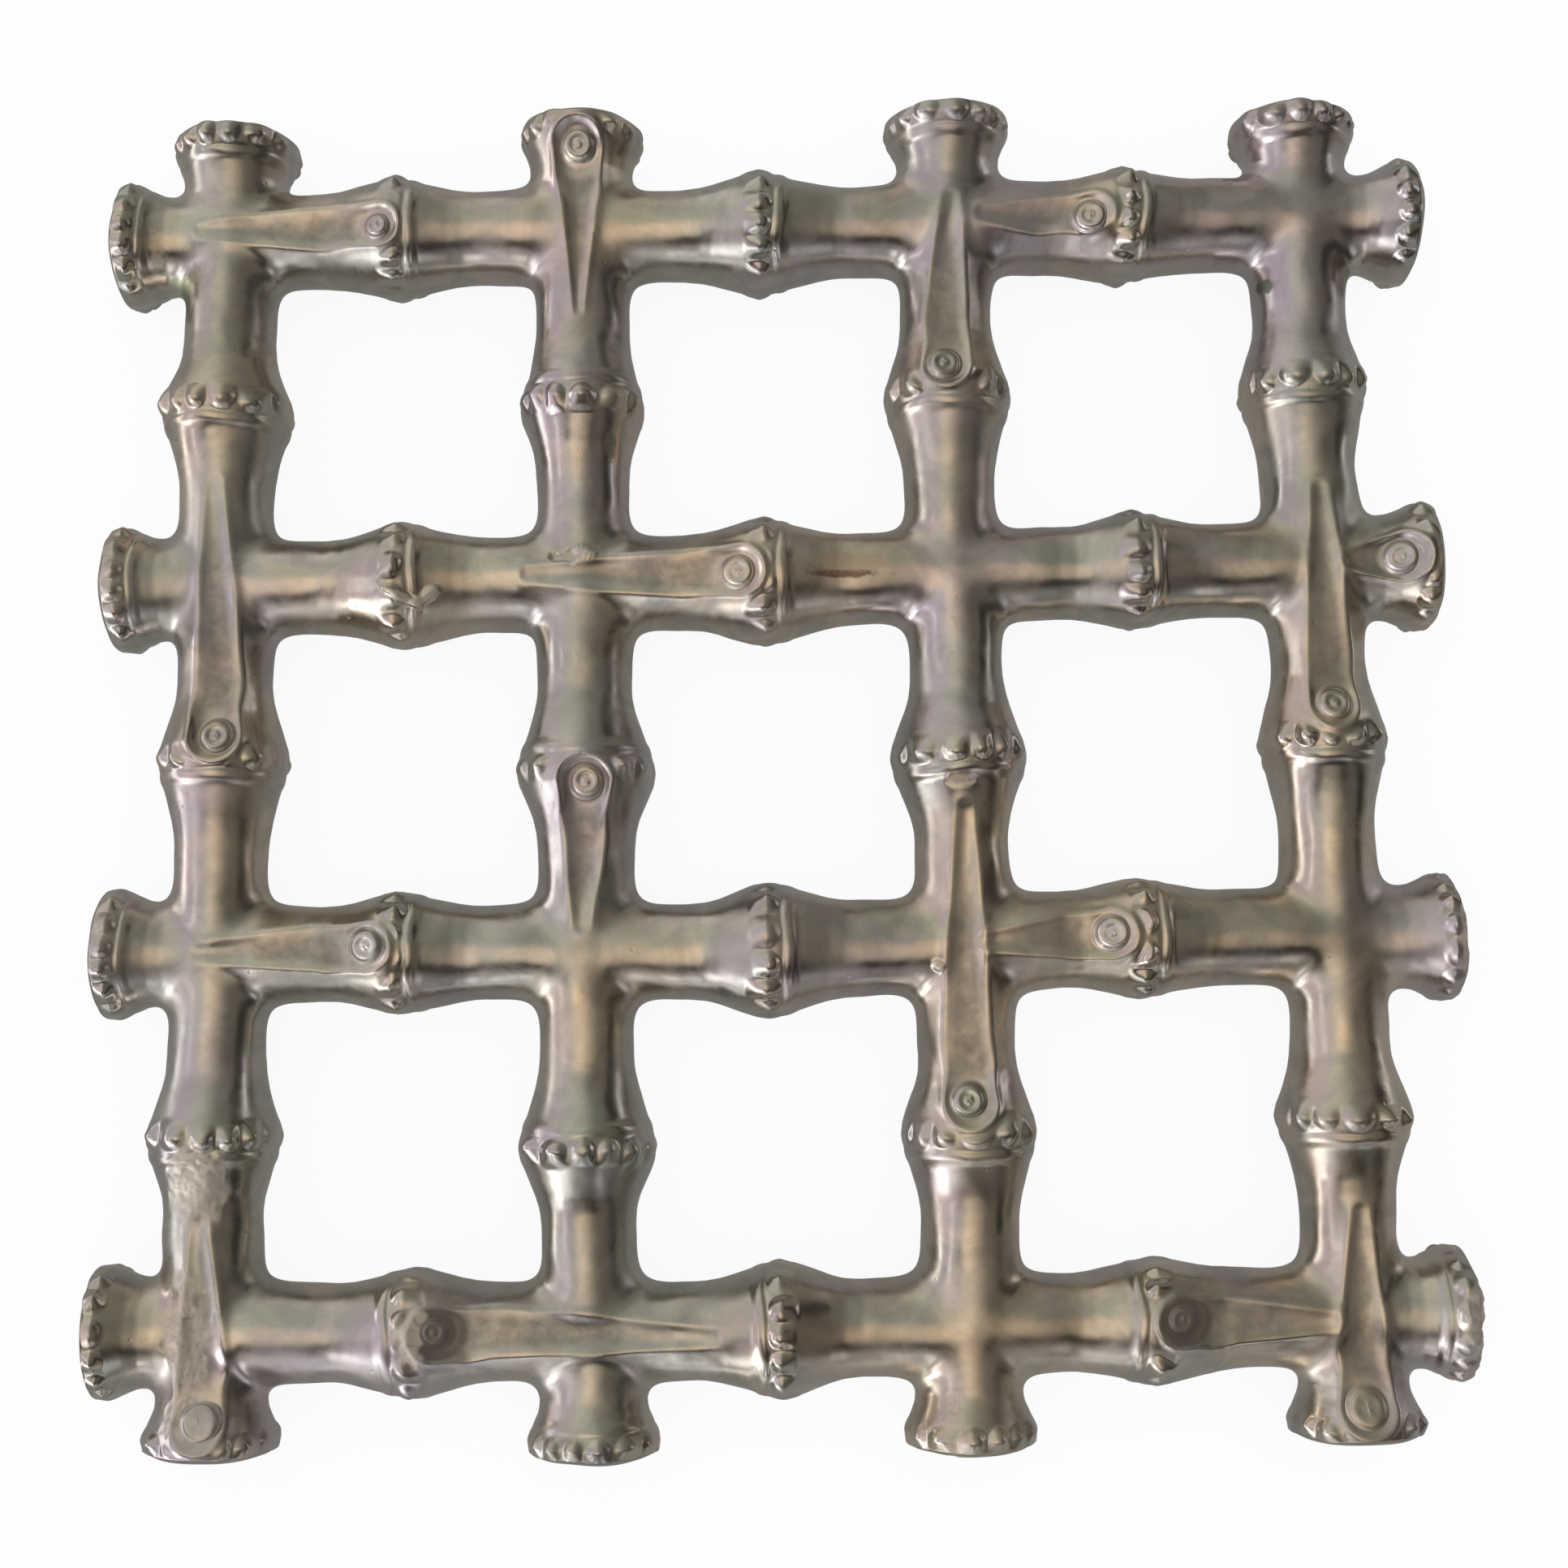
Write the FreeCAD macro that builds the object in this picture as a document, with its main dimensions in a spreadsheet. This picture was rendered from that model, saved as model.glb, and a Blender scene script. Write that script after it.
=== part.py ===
import FreeCAD, Part
import Sketcher
import os

# Faux bamboo trivet. Four cross stems and four long stems lie in one plane, halved into each other
# at sixteen crossings. A solder fillet closes the corners of each crossing, and a small turned pin
# stands in each of the sixteen bud eyes.
# Frame: millimetres, +Z up, +X along the cross stems, +Y along the long stems. The origin is under
# the middle of the trivet, on the plane of its rest flats.

doc = FreeCAD.newDocument("trivet")

driving_sizes = {
    "stem_pitch": (50.0, "middle to middle of two stems side by side"),
    "stem_overhang": (15.6, "outermost crossing to the end of a stem"),
    "waist_radius": (6.35, "stem between two nodes"),
    "node_radius": (8.9, "crest of a node, under its beads"),
    "node_flare": (11.0, "node to the waist, along the stem"),
    "land_length": (3.6, "level crest under the beads of a node"),
    "end_radius": (8.9, "widest part of an end"),
    "end_flare": (9.2, "end to the waist, along the stem"),
    "end_land": (1.2, "level crest under the beads of an end"),
    "end_dome": (0.5, "rise of the end face"),
    "lip_radius": (1.6, "round edge of the end face"),
    "bead_radius": (1.5, "one bead"),
    "bead_rise": (0.35, "bead above the crest that carries it"),
    "bead_setback": (0.5, "ring of beads behind the middle of its node"),
    "notch_width": (0.35, "fine groove between beads and raised ring"),
    "ring_width": (1.3, "raised ring beside the beads"),
    "ring_step": (0.3, "foot of the raised ring below the crest"),
    "rest_flat_depth": (0.45, "ground off the underside of a node"),
    "fillet_radius": (3.2, "solder in a corner of a crossing, seen from above"),
    "fillet_reach": (10.7, "solder from the middle of a crossing, at the axes"),
    "fillet_belly": (3.8, "belly of the solder beyond its top edge"),
    "fillet_height": (4.8, "solder above and below the axes"),
    "eye_floor": (7.1, "seat of a bud pin above the axis of its stem"),
    "eye_channel": (0.7, "channel round the head of a bud pin"),
    "pin_head_radius": (1.9, "head of a bud pin"),
    "pin_head_height": (1.2, "head of a bud pin above its seat"),
    "pin_edge": (0.25, "round edge of the head"),
    "pin_rim": (0.4, "raised rim of the head"),
    "pin_recess": (0.4, "depth inside the rim"),
    "pin_button_radius": (0.7, "button in the middle of the head"),
    "pin_shank_radius": (1.1, "shank of a bud pin"),
    "pin_shank_length": (3.2, "shank of a bud pin below its seat"),
    "pin_clearance": (0.05, "shank to its hole, all round and at its end"),
    "groove_radius": (3.4, "cutter of a bud groove at its eye"),
    "groove_depth": (0.8, "bud groove where it reaches the waist"),
    "groove_tail_radius": (1.0, "cutter of a bud groove at its tail"),
    "groove_tail_depth": (0.1, "bud groove at its tail"),
    "cut_overrun": (1.0, "how far a cut runs past what it cuts"),
}
bead_count = 16

# Lines of the stems and middles of the inner nodes, in pitches from the middle of the trivet
line_shares = [-1.5, -0.5, 0.5, 1.5]
node_shares = [-1, 0, 1]

# heading is the way that a stem grows, in degrees from +X: beads first, then the raised ring.
# Each bud has its eye and the tail of its groove, in pitches along the heading.
cross_stems = [
    {"name": "cross_stem_1", "line_share": 1.5, "heading": 0,
     "bud_shares": [(-1.06, -1.57), (0.90, 0.58)]},
    {"name": "cross_stem_2", "line_share": 0.5, "heading": 0,
     "bud_shares": [(-0.08, -0.65), (1.71, 1.56)]},
    {"name": "cross_stem_3", "line_share": -0.5, "heading": 0,
     "bud_shares": [(-1.07, -1.53), (0.88, 0.54)]},
    {"name": "cross_stem_4", "line_share": -1.5, "heading": 180,
     "bud_shares": [(0.89, 0.16), (-1.03, -1.43)]},
]
long_stems = [
    {"name": "long_stem_1", "line_share": -1.5, "heading": -90,
     "bud_shares": [(-0.07, -0.78), (1.70, 1.20)]},
    {"name": "long_stem_2", "line_share": -0.5, "heading": 90,
     "bud_shares": [(1.70, 1.34), (-0.06, -0.44)]},
    {"name": "long_stem_3", "line_share": 0.5, "heading": -90,
     "bud_shares": [(-1.06, -1.56), (0.91, 0.14)]},
    {"name": "long_stem_4", "line_share": 1.5, "heading": -90,
     "bud_shares": [(-0.11, -0.71), (1.71, 1.21)]},
]

sheet = doc.addObject("Spreadsheet::Sheet", "sizes")
for row, (alias, (size, meaning)) in enumerate(driving_sizes.items(), start=1):
    sheet.set("A%d" % row, meaning)
    sheet.set("B%d" % row, str(size))
    sheet.setAlias("B%d" % row, alias)
doc.recompute()


# Sizes that follow from the sheet, as expressions of it
def arc_radius(length, rise):
    """Radius of the arc that leaves a line at a tangent and gains rise over length."""
    return "((%s)^2 + (%s)^2) / (2 * (%s))" % (length, rise, rise)


pitch = "sizes.stem_pitch"
waist = "sizes.waist_radius"
crest = "sizes.node_radius"
notch = "sizes.notch_width"
ring = "sizes.ring_width"
step = "sizes.ring_step"
overrun = "sizes.cut_overrun"
outermost = "(%s * sizes.stem_pitch)" % max(line_shares)
stem_half = outermost + " + sizes.stem_overhang"
axis_height = "sizes.node_radius - sizes.rest_flat_depth"
end_crest = "sizes.end_dome + sizes.lip_radius"
end_beads = end_crest + " + sizes.end_land / 2"
thickest = "sizes.node_radius + sizes.end_radius"


def measure(expression):
    """The value in millimetres of an expression of the sheet."""
    return float(sheet.evalExpression(expression))


def bind(thing, **properties):
    """Tie properties of an object to expressions of the sheet."""
    for name, expression in properties.items():
        thing.setExpression(name, expression)
    return thing


def put(thing, x="0", y="0", z="0", turn=FreeCAD.Rotation()):
    """Turn an object and tie its place to expressions of the sheet."""
    thing.Placement = FreeCAD.Placement(FreeCAD.Vector(), turn)
    for axis, expression in (("x", x), ("y", y), ("z", z)):
        if expression != "0":
            thing.setExpression("Placement.Base." + axis, expression)
    return thing


def about(x, y, z, angle):
    """A turn about an axis, in degrees."""
    return FreeCAD.Rotation(FreeCAD.Vector(x, y, z), angle)


def origin_feature(body, role):
    """One of a body's own origin planes or axes."""
    return next(item for item in body.Origin.OriginFeatures if item.Role == role)


def arc_between(start, end, radius, side):
    """An arc from start to end that bulges to its left (side 1) or right (side -1)."""
    chord = end - start
    across = FreeCAD.Vector(-chord.y, chord.x, 0).normalize()
    bulge = radius - max(radius ** 2 - chord.Length ** 2 / 4, 0) ** 0.5
    return Part.Arc(start, (start + end) * 0.5 + across * (bulge * side), end)


def outline(body, name, corners):
    """A closed sketch on the body's XZ plane.

    A corner is its place along X and Z. One that an arc leaves also has the arc's radius and side.
    """
    sketch = body.newObject("Sketcher::SketchObject", name)
    sketch.AttachmentSupport = (origin_feature(body, "XZ_Plane"), [""])
    sketch.MapMode = "FlatFace"
    points = [FreeCAD.Vector(measure(corner[0]), measure(corner[1]), 0) for corner in corners]
    ends = []
    for number, corner in enumerate(corners):
        start, end = points[number], points[(number + 1) % len(points)]
        if len(corner) > 2:
            shape = arc_between(start, end, measure(corner[2]), corner[3])
        else:
            shape = Part.LineSegment(start, end)
        piece = sketch.addGeometry(shape, False)
        # an arc is stored counterclockwise, so its two ends may have changed places
        stored = sketch.getPoint(piece, 1)
        kept_order = (stored - start).Length < (stored - end).Length
        ends.append((piece, 1, 2) if kept_order else (piece, 2, 1))
    for number, corner in enumerate(corners):
        piece, first, last = ends[number]
        next_piece, next_first, _ = ends[(number + 1) % len(ends)]
        sketch.addConstraint(
            Sketcher.Constraint("Coincident", piece, last, next_piece, next_first))
        for kind, expression, axis in (("DistanceX", corner[0], -2), ("DistanceY", corner[1], -1)):
            if expression == "0":
                sketch.addConstraint(Sketcher.Constraint("PointOnObject", piece, first, axis))
            else:
                tied = sketch.addConstraint(
                    Sketcher.Constraint(kind, piece, first, measure(expression)))
                sketch.setExpression("Constraints[%d]" % tied, expression)
        if len(corner) > 2:
            tied = sketch.addConstraint(Sketcher.Constraint("Radius", piece, measure(corner[2])))
            sketch.setExpression("Constraints[%d]" % tied, corner[2])
    return sketch


def turned_body(name, corners, axis):
    """A body turned about one of its sketch's own axes."""
    body = doc.addObject("PartDesign::Body", name)
    turned = body.newObject("PartDesign::Revolution", name + "_turned")
    turned.Profile = outline(body, name + "_outline", corners)
    turned.ReferenceAxis = (turned.Profile[0], [axis])
    turned.Angle = 360
    return body


def beside_beads(land_end, crest_radius):
    """The corners of the fine notch and the raised ring, from the end of a land of beads."""
    return [
        (land_end, crest_radius),
        ("%s + %s / 2" % (land_end, notch), "%s - %s" % (crest_radius, notch)),
        ("%s + %s" % (land_end, notch), "%s - %s" % (crest_radius, step),
         "0.6 * " + ring, 1),
    ]


def node_corners(share):
    """The corners of one inner node, from waist to waist."""
    middle = "%s * %s" % (share, pitch)
    land_start = "%s - sizes.bead_setback - sizes.land_length / 2" % middle
    land_end = "%s - sizes.bead_setback + sizes.land_length / 2" % middle
    ring_end = "%s + %s + %s" % (land_end, notch, ring)
    rise = "%s - %s" % (crest, waist)
    fall = "%s - 2 * %s - %s" % (crest, step, waist)
    rising = "sizes.node_flare - sizes.bead_setback - sizes.land_length / 2"
    falling = ("sizes.node_flare + sizes.bead_setback - sizes.land_length / 2 - %s - %s"
               % (notch, ring))
    return [
        ("%s - sizes.node_flare" % middle, waist, arc_radius(rising, rise), -1),
        (land_start, crest),
        *beside_beads(land_end, crest),
        (ring_end, "%s - 2 * %s" % (crest, step), arc_radius(falling, fall), -1),
        ("%s + sizes.node_flare" % middle, waist),
    ]


def stem_corners():
    """The outline of a whole stem over its axis, along its heading."""
    end_radius = "sizes.end_radius"
    lip_foot = "sizes.end_radius - sizes.lip_radius"
    face = arc_radius(lip_foot, "sizes.end_dome")
    back = "-(%s)" % stem_half
    land_end = "%s + %s + sizes.end_land" % (back, end_crest)
    back_fall = "%s - 2 * %s - %s" % (end_radius, step, waist)
    back_falling = "sizes.end_flare - (%s) - sizes.end_land - %s - %s" % (end_crest, notch, ring)
    front_rise = "%s - %s" % (end_radius, waist)
    front_rising = "sizes.end_flare - (%s) - sizes.end_land" % end_crest
    corners = [
        (back, "0", face, 1),
        (back + " + sizes.end_dome", lip_foot, "sizes.lip_radius", 1),
        ("%s + %s" % (back, end_crest), end_radius),
        *beside_beads(land_end, end_radius),
        ("%s + %s + %s" % (land_end, notch, ring), "%s - 2 * %s" % (end_radius, step),
         arc_radius(back_falling, back_fall), -1),
        (back + " + sizes.end_flare", waist),
    ]
    for share in node_shares:
        corners += node_corners(share)
    corners += [
        (stem_half + " - sizes.end_flare", waist, arc_radius(front_rising, front_rise), -1),
        ("%s - (%s) - sizes.end_land" % (stem_half, end_crest), end_radius),
        ("%s - (%s)" % (stem_half, end_crest), end_radius, "sizes.lip_radius", 1),
        (stem_half + " - sizes.end_dome", lip_foot, face, 1),
        (stem_half, "0"),
    ]
    return corners


def cut(name, base, cutters):
    """One object less some cutters, which may overlap each other."""
    tool = doc.addObject("Part::MultiFuse", name + "_cutters")
    tool.Shapes = cutters
    piece = doc.addObject("Part::Cut", name)
    piece.Base = base
    piece.Tool = tool
    return piece


def add_beads(body, name, place, crest_radius):
    """A ring of beads round the stem, half sunk in its crest."""
    bead = body.newObject("PartDesign::AdditiveSphere", name + "_bead")
    bind(bead, Radius="sizes.bead_radius")
    put(bead, x=place, z=crest_radius + " + sizes.bead_rise - sizes.bead_radius")
    beads = body.newObject("PartDesign::PolarPattern", name)
    beads.Originals = [bead]
    beads.Axis = (origin_feature(body, "X_Axis"), [""])
    beads.Angle = 360
    beads.Occurrences = bead_count
    body.Tip = beads


def bench():
    """What is ground off under a stem, so that its nodes and ends rest flat."""
    cutter = doc.addObject("Part::Box", "bench")
    bind(cutter, Length="2 * (%s + %s)" % (stem_half, overrun), Width="2 * (%s)" % thickest,
         Height=thickest)
    return put(cutter, x="-(%s + %s)" % (stem_half, overrun), y="-(%s)" % thickest,
               z="-(%s) - (%s)" % (axis_height, thickest))


def lapped_blank(name, side):
    """The beaded stem with its flats and its four laps, cut above (1) or below (-1) its axis.

    What a crossing stem takes out of this one is one half of its own round waist.
    """
    cutters = [bench_cutter]
    for number, share in enumerate(line_shares, start=1):
        cutter = doc.addObject("Part::Cylinder", "%s_lap_%d" % (name, number))
        cutter.Angle = 180
        bind(cutter, Radius=waist, Height="2 * (%s + %s)" % (waist, overrun))
        put(cutter, x="%s * %s" % (share, pitch), y="%d * (%s + %s)" % (side, waist, overrun),
            turn=about(1, 0, 0, 90 * side))
        cutters.append(cutter)
    return cut(name, beaded_stem, cutters)


def groove(name, bud_share, across=None):
    """The cutter of a bud groove, through rounds at the eye, at the waist and at the tail.

    across places the same cutter in a stem that the groove runs on over.
    """
    eye_share, tail_share = bud_share
    if eye_share > max(line_shares):
        waist_start = stem_half + " - sizes.end_flare"
    else:
        carrier = min(node_shares, key=lambda share: abs(share - eye_share))
        waist_start = "%s * %s - sizes.node_flare" % (carrier, pitch)
    stations = [
        ("%s * %s" % (eye_share, pitch), "sizes.groove_radius",
         "sizes.eye_floor + sizes.groove_radius"),
        (waist_start, "sizes.groove_radius", waist + " - sizes.groove_depth + sizes.groove_radius"),
        ("%s * %s" % (tail_share, pitch), "sizes.groove_tail_radius",
         waist + " - sizes.groove_tail_depth + sizes.groove_tail_radius"),
    ]
    rounds = []
    for number, (place, radius, height) in enumerate(stations, start=1):
        section = doc.addObject("Part::Circle", "%s_round_%d" % (name, number))
        bind(section, Radius=radius)
        if across is None:
            put(section, x=place, z=height, turn=about(0, 1, 0, 90))
        else:
            crossing, sideways, way = across
            put(section, x="%s * %s" % (crossing, pitch), z=height, turn=about(1, 0, 0, 90),
                y="%d * (%d * (%s) - %s * %s)" % (way[0], way[1], place, sideways, pitch))
        rounds.append(section)
    cutter = doc.addObject("Part::Loft", name)
    cutter.Sections = rounds
    cutter.Solid = True
    cutter.Ruled = True
    return cutter


def upright_hole(name, eye_share, radius, floor):
    """A round hole straight down into a stem at a bud eye, open at the top."""
    cutter = doc.addObject("Part::Cylinder", name)
    bind(cutter, Radius=radius, Height=thickest)
    return put(cutter, x="%s * %s" % (eye_share, pitch), z=floor)


def finished_stem(stem, is_upper):
    """A stem with its bud eyes, the holes for their pins, and the grooves that run from them."""
    name = stem["name"]
    cutters = []
    for number, bud_share in enumerate(stem["bud_shares"], start=1):
        bud = "%s_bud_%d" % (name, number)
        cutters.append(groove(bud + "_groove", bud_share))
        cutters.append(upright_hole(bud + "_eye", bud_share[0],
                                    "sizes.pin_head_radius + sizes.eye_channel",
                                    "sizes.eye_floor"))
        cutters.append(upright_hole(bud + "_hole", bud_share[0],
                                    "sizes.pin_shank_radius + sizes.pin_clearance",
                                    "sizes.eye_floor - sizes.pin_shank_length"
                                    " - sizes.pin_clearance"))
    if is_upper:
        cutters += grooves_across(stem)
    piece = cut(name, upper_blank if is_upper else lower_blank, cutters)
    return lay(piece, stem, is_upper)


def lay(piece, stem, is_upper):
    """Turn a piece to its stem's heading and put it on the stem's line."""
    line = "%s * %s" % (stem["line_share"], pitch)
    turn = about(0, 0, 1, stem["heading"])
    if is_upper:
        return put(piece, x=line, z=axis_height, turn=turn)
    return put(piece, y=line, z=axis_height, turn=turn)


def grooves_across(long_stem):
    """Cutters of the cross stems' grooves where they run on over a long stem."""
    half_width_share = measure(waist) / measure(pitch)
    side = -1 if long_stem["heading"] > 0 else 1
    cutters = []
    for cross_stem in cross_stems:
        direction = 1 if cross_stem["heading"] == 0 else -1
        for number, bud_share in enumerate(cross_stem["bud_shares"], start=1):
            low, high = sorted(direction * share for share in bud_share)
            line = long_stem["line_share"]
            if low - half_width_share < line < high + half_width_share:
                name = "%s_%s_bud_%d" % (long_stem["name"], cross_stem["name"], number)
                crossing = -side * cross_stem["line_share"]
                cutters.append(groove(name, bud_share, (crossing, line, (side, direction))))
    return cutters


def pin_corners():
    """The outline of a bud pin over its axis: shank, head, rim, recess and button."""
    head, height, edge = "sizes.pin_head_radius", "sizes.pin_head_height", "sizes.pin_edge"
    inside = "%s - %s - sizes.pin_rim" % (head, edge)
    floor = height + " - sizes.pin_recess"
    button, button_rise = "sizes.pin_button_radius", "0.8 * sizes.pin_recess"
    return [
        ("0", "-sizes.pin_shank_length"),
        ("sizes.pin_shank_radius", "-sizes.pin_shank_length"),
        ("sizes.pin_shank_radius", "0"),
        (head, "0"),
        (head, "%s - %s" % (height, edge), edge, -1),
        ("%s - %s" % (head, edge), height),
        (inside, height),
        (inside, floor),
        (button, floor, arc_radius(button, button_rise), -1),
        ("0", "%s + %s" % (floor, button_rise)),
    ]


def add_pins(stem, is_upper):
    """The two bud pins of a stem."""
    direction = 1 if stem["heading"] in (0, 90) else -1
    pins = []
    for number, (eye_share, _) in enumerate(stem["bud_shares"], start=1):
        pin = turned_body("%s_bud_pin_%d" % (stem["name"], number), pin_corners(), "V_Axis")
        along = "%s * %s" % (direction * eye_share, pitch)
        line = "%s * %s" % (stem["line_share"], pitch)
        x, y = (line, along) if is_upper else (along, line)
        pins.append(put(pin, x=x, y=y, z=axis_height + " + sizes.eye_floor"))
    return pins


def solder_slug():
    """A drop of solder over a whole crossing, hollowed in its four corners."""
    height = "sizes.fillet_height"
    top = "sizes.fillet_reach - sizes.fillet_belly"
    drop = turned_body("solder_drop", [
        ("0", "-" + height),
        (top, "-" + height, arc_radius(height, "sizes.fillet_belly"), -1),
        (top, height),
        ("0", height),
    ], "V_Axis")
    hollows = []
    centre = "(%s + sizes.fillet_radius)" % waist
    for number, (x_side, y_side) in enumerate([(1, 1), (-1, 1), (-1, -1), (1, -1)], start=1):
        hollow = doc.addObject("Part::Cylinder", "solder_hollow_%d" % number)
        bind(hollow, Radius="sizes.fillet_radius", Height="2 * (%s + %s)" % (height, overrun))
        put(hollow, x="%d * %s" % (x_side, centre), y="%d * %s" % (y_side, centre),
            z="-(%s + %s)" % (height, overrun))
        hollows.append(hollow)
    return cut("solder_slug", drop, hollows)


def solder_joint(cross_number, long_number):
    """The four fillets at one crossing: the slug less the two stems."""
    name = "solder_joint_%d_%d" % (cross_number, long_number)
    placed = doc.addObject("Part::Compound", name + "_slug")
    placed.Links = [slug]
    put(placed, x="%s * %s" % (long_stems[long_number - 1]["line_share"], pitch),
        y="%s * %s" % (cross_stems[cross_number - 1]["line_share"], pitch), z=axis_height)
    half_done = doc.addObject("Part::Cut", name + "_over_cross_stem")
    half_done.Base = placed
    half_done.Tool = plain_cross_stems[cross_number - 1]
    joint = doc.addObject("Part::Cut", name)
    joint.Base = half_done
    joint.Tool = plain_long_stems[long_number - 1]
    return joint


def plain_copy(stem, is_upper):
    """The turned stem alone, laid on a stem's line."""
    copy = doc.addObject("Part::Compound", stem["name"] + "_turned_copy")
    copy.Links = [plain_stem]
    return lay(copy, stem, is_upper)


# The blanks that the stems are cut from
plain_stem = turned_body("plain_stem", stem_corners(), "H_Axis")
beaded_stem = doc.addObject("PartDesign::Body", "beaded_stem")
beaded_stem.BaseFeature = plain_stem
end_place = "(%s - (%s))" % (stem_half, end_beads)
add_beads(beaded_stem, "back_beads", "-" + end_place, "sizes.end_radius")
add_beads(beaded_stem, "front_beads", end_place, "sizes.end_radius")
for number, share in enumerate(node_shares, start=1):
    add_beads(beaded_stem, "node_%d_beads" % number,
              "%s * %s - sizes.bead_setback" % (share, pitch), crest)
bench_cutter = bench()
lower_blank = lapped_blank("lower_blank", 1)
upper_blank = lapped_blank("upper_blank", -1)

sub_parts = []
for stems, is_upper in ((cross_stems, False), (long_stems, True)):
    for stem in stems:
        sub_parts.append(finished_stem(stem, is_upper))
        sub_parts += add_pins(stem, is_upper)

slug = solder_slug()
plain_cross_stems = [plain_copy(stem, False) for stem in cross_stems]
plain_long_stems = [plain_copy(stem, True) for stem in long_stems]
for cross_number in range(1, len(cross_stems) + 1):
    for long_number in range(1, len(long_stems) + 1):
        sub_parts.append(solder_joint(cross_number, long_number))

doc.recompute()
for item in doc.Objects:
    if "Invalid" in item.State or "Error" in item.State:
        raise RuntimeError("%s did not build: %s" % (item.Name, item.State))
for piece in sub_parts:
    if piece.Shape.isNull() or not piece.Shape.isValid() or not piece.Shape.Solids:
        raise RuntimeError("%s has no sound shape" % piece.Label)

os.makedirs("parts", exist_ok=True)
for piece in sub_parts:
    piece.Shape.exportStep("parts/%s.step" % piece.Label)
    print(piece.Label, len(piece.Shape.Solids), round(piece.Shape.Volume, 2))
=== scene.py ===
import math

import bpy
import numpy as np
from mathutils import Euler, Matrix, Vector


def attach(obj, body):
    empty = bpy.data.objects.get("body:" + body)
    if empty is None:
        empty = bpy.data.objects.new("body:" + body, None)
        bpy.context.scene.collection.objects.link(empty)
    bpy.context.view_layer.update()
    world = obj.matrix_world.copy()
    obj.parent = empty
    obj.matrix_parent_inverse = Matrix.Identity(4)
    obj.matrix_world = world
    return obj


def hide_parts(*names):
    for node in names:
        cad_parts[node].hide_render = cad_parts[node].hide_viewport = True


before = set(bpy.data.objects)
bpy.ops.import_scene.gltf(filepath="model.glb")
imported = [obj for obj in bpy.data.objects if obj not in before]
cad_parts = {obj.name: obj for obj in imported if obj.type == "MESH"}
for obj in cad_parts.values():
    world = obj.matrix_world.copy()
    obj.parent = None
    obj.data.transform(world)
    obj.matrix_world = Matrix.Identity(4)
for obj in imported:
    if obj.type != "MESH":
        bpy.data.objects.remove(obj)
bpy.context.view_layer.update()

# lengths are in millimetres up to the moment a mesh is made, as in the part's own source
mm = 0.001
rng = np.random.default_rng(7)


# stems
trivet = {
    "pitch": 50.0,  # middle to middle of two stems
    "tip": 90.6,  # middle of the trivet to the end of a stem
    "waist": 6.35,  # radius between two nodes
    "axisHeight": 8.45,  # stem axis above the table
    "top": 18.05,  # dishes have worn the crests down to here
    "topSoftness": 0.3, "restSoftness": 0.05,
    "sideBlend": 5.8,  # how softly two stems run together in plan
    "topBlend": 1.4,  # and on top of their crossing
    "blendReach": 14.6,  # crossing to the last ring that the blend may move
}
crossings = (-75.0, -25.0, 25.0, 75.0)

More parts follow.
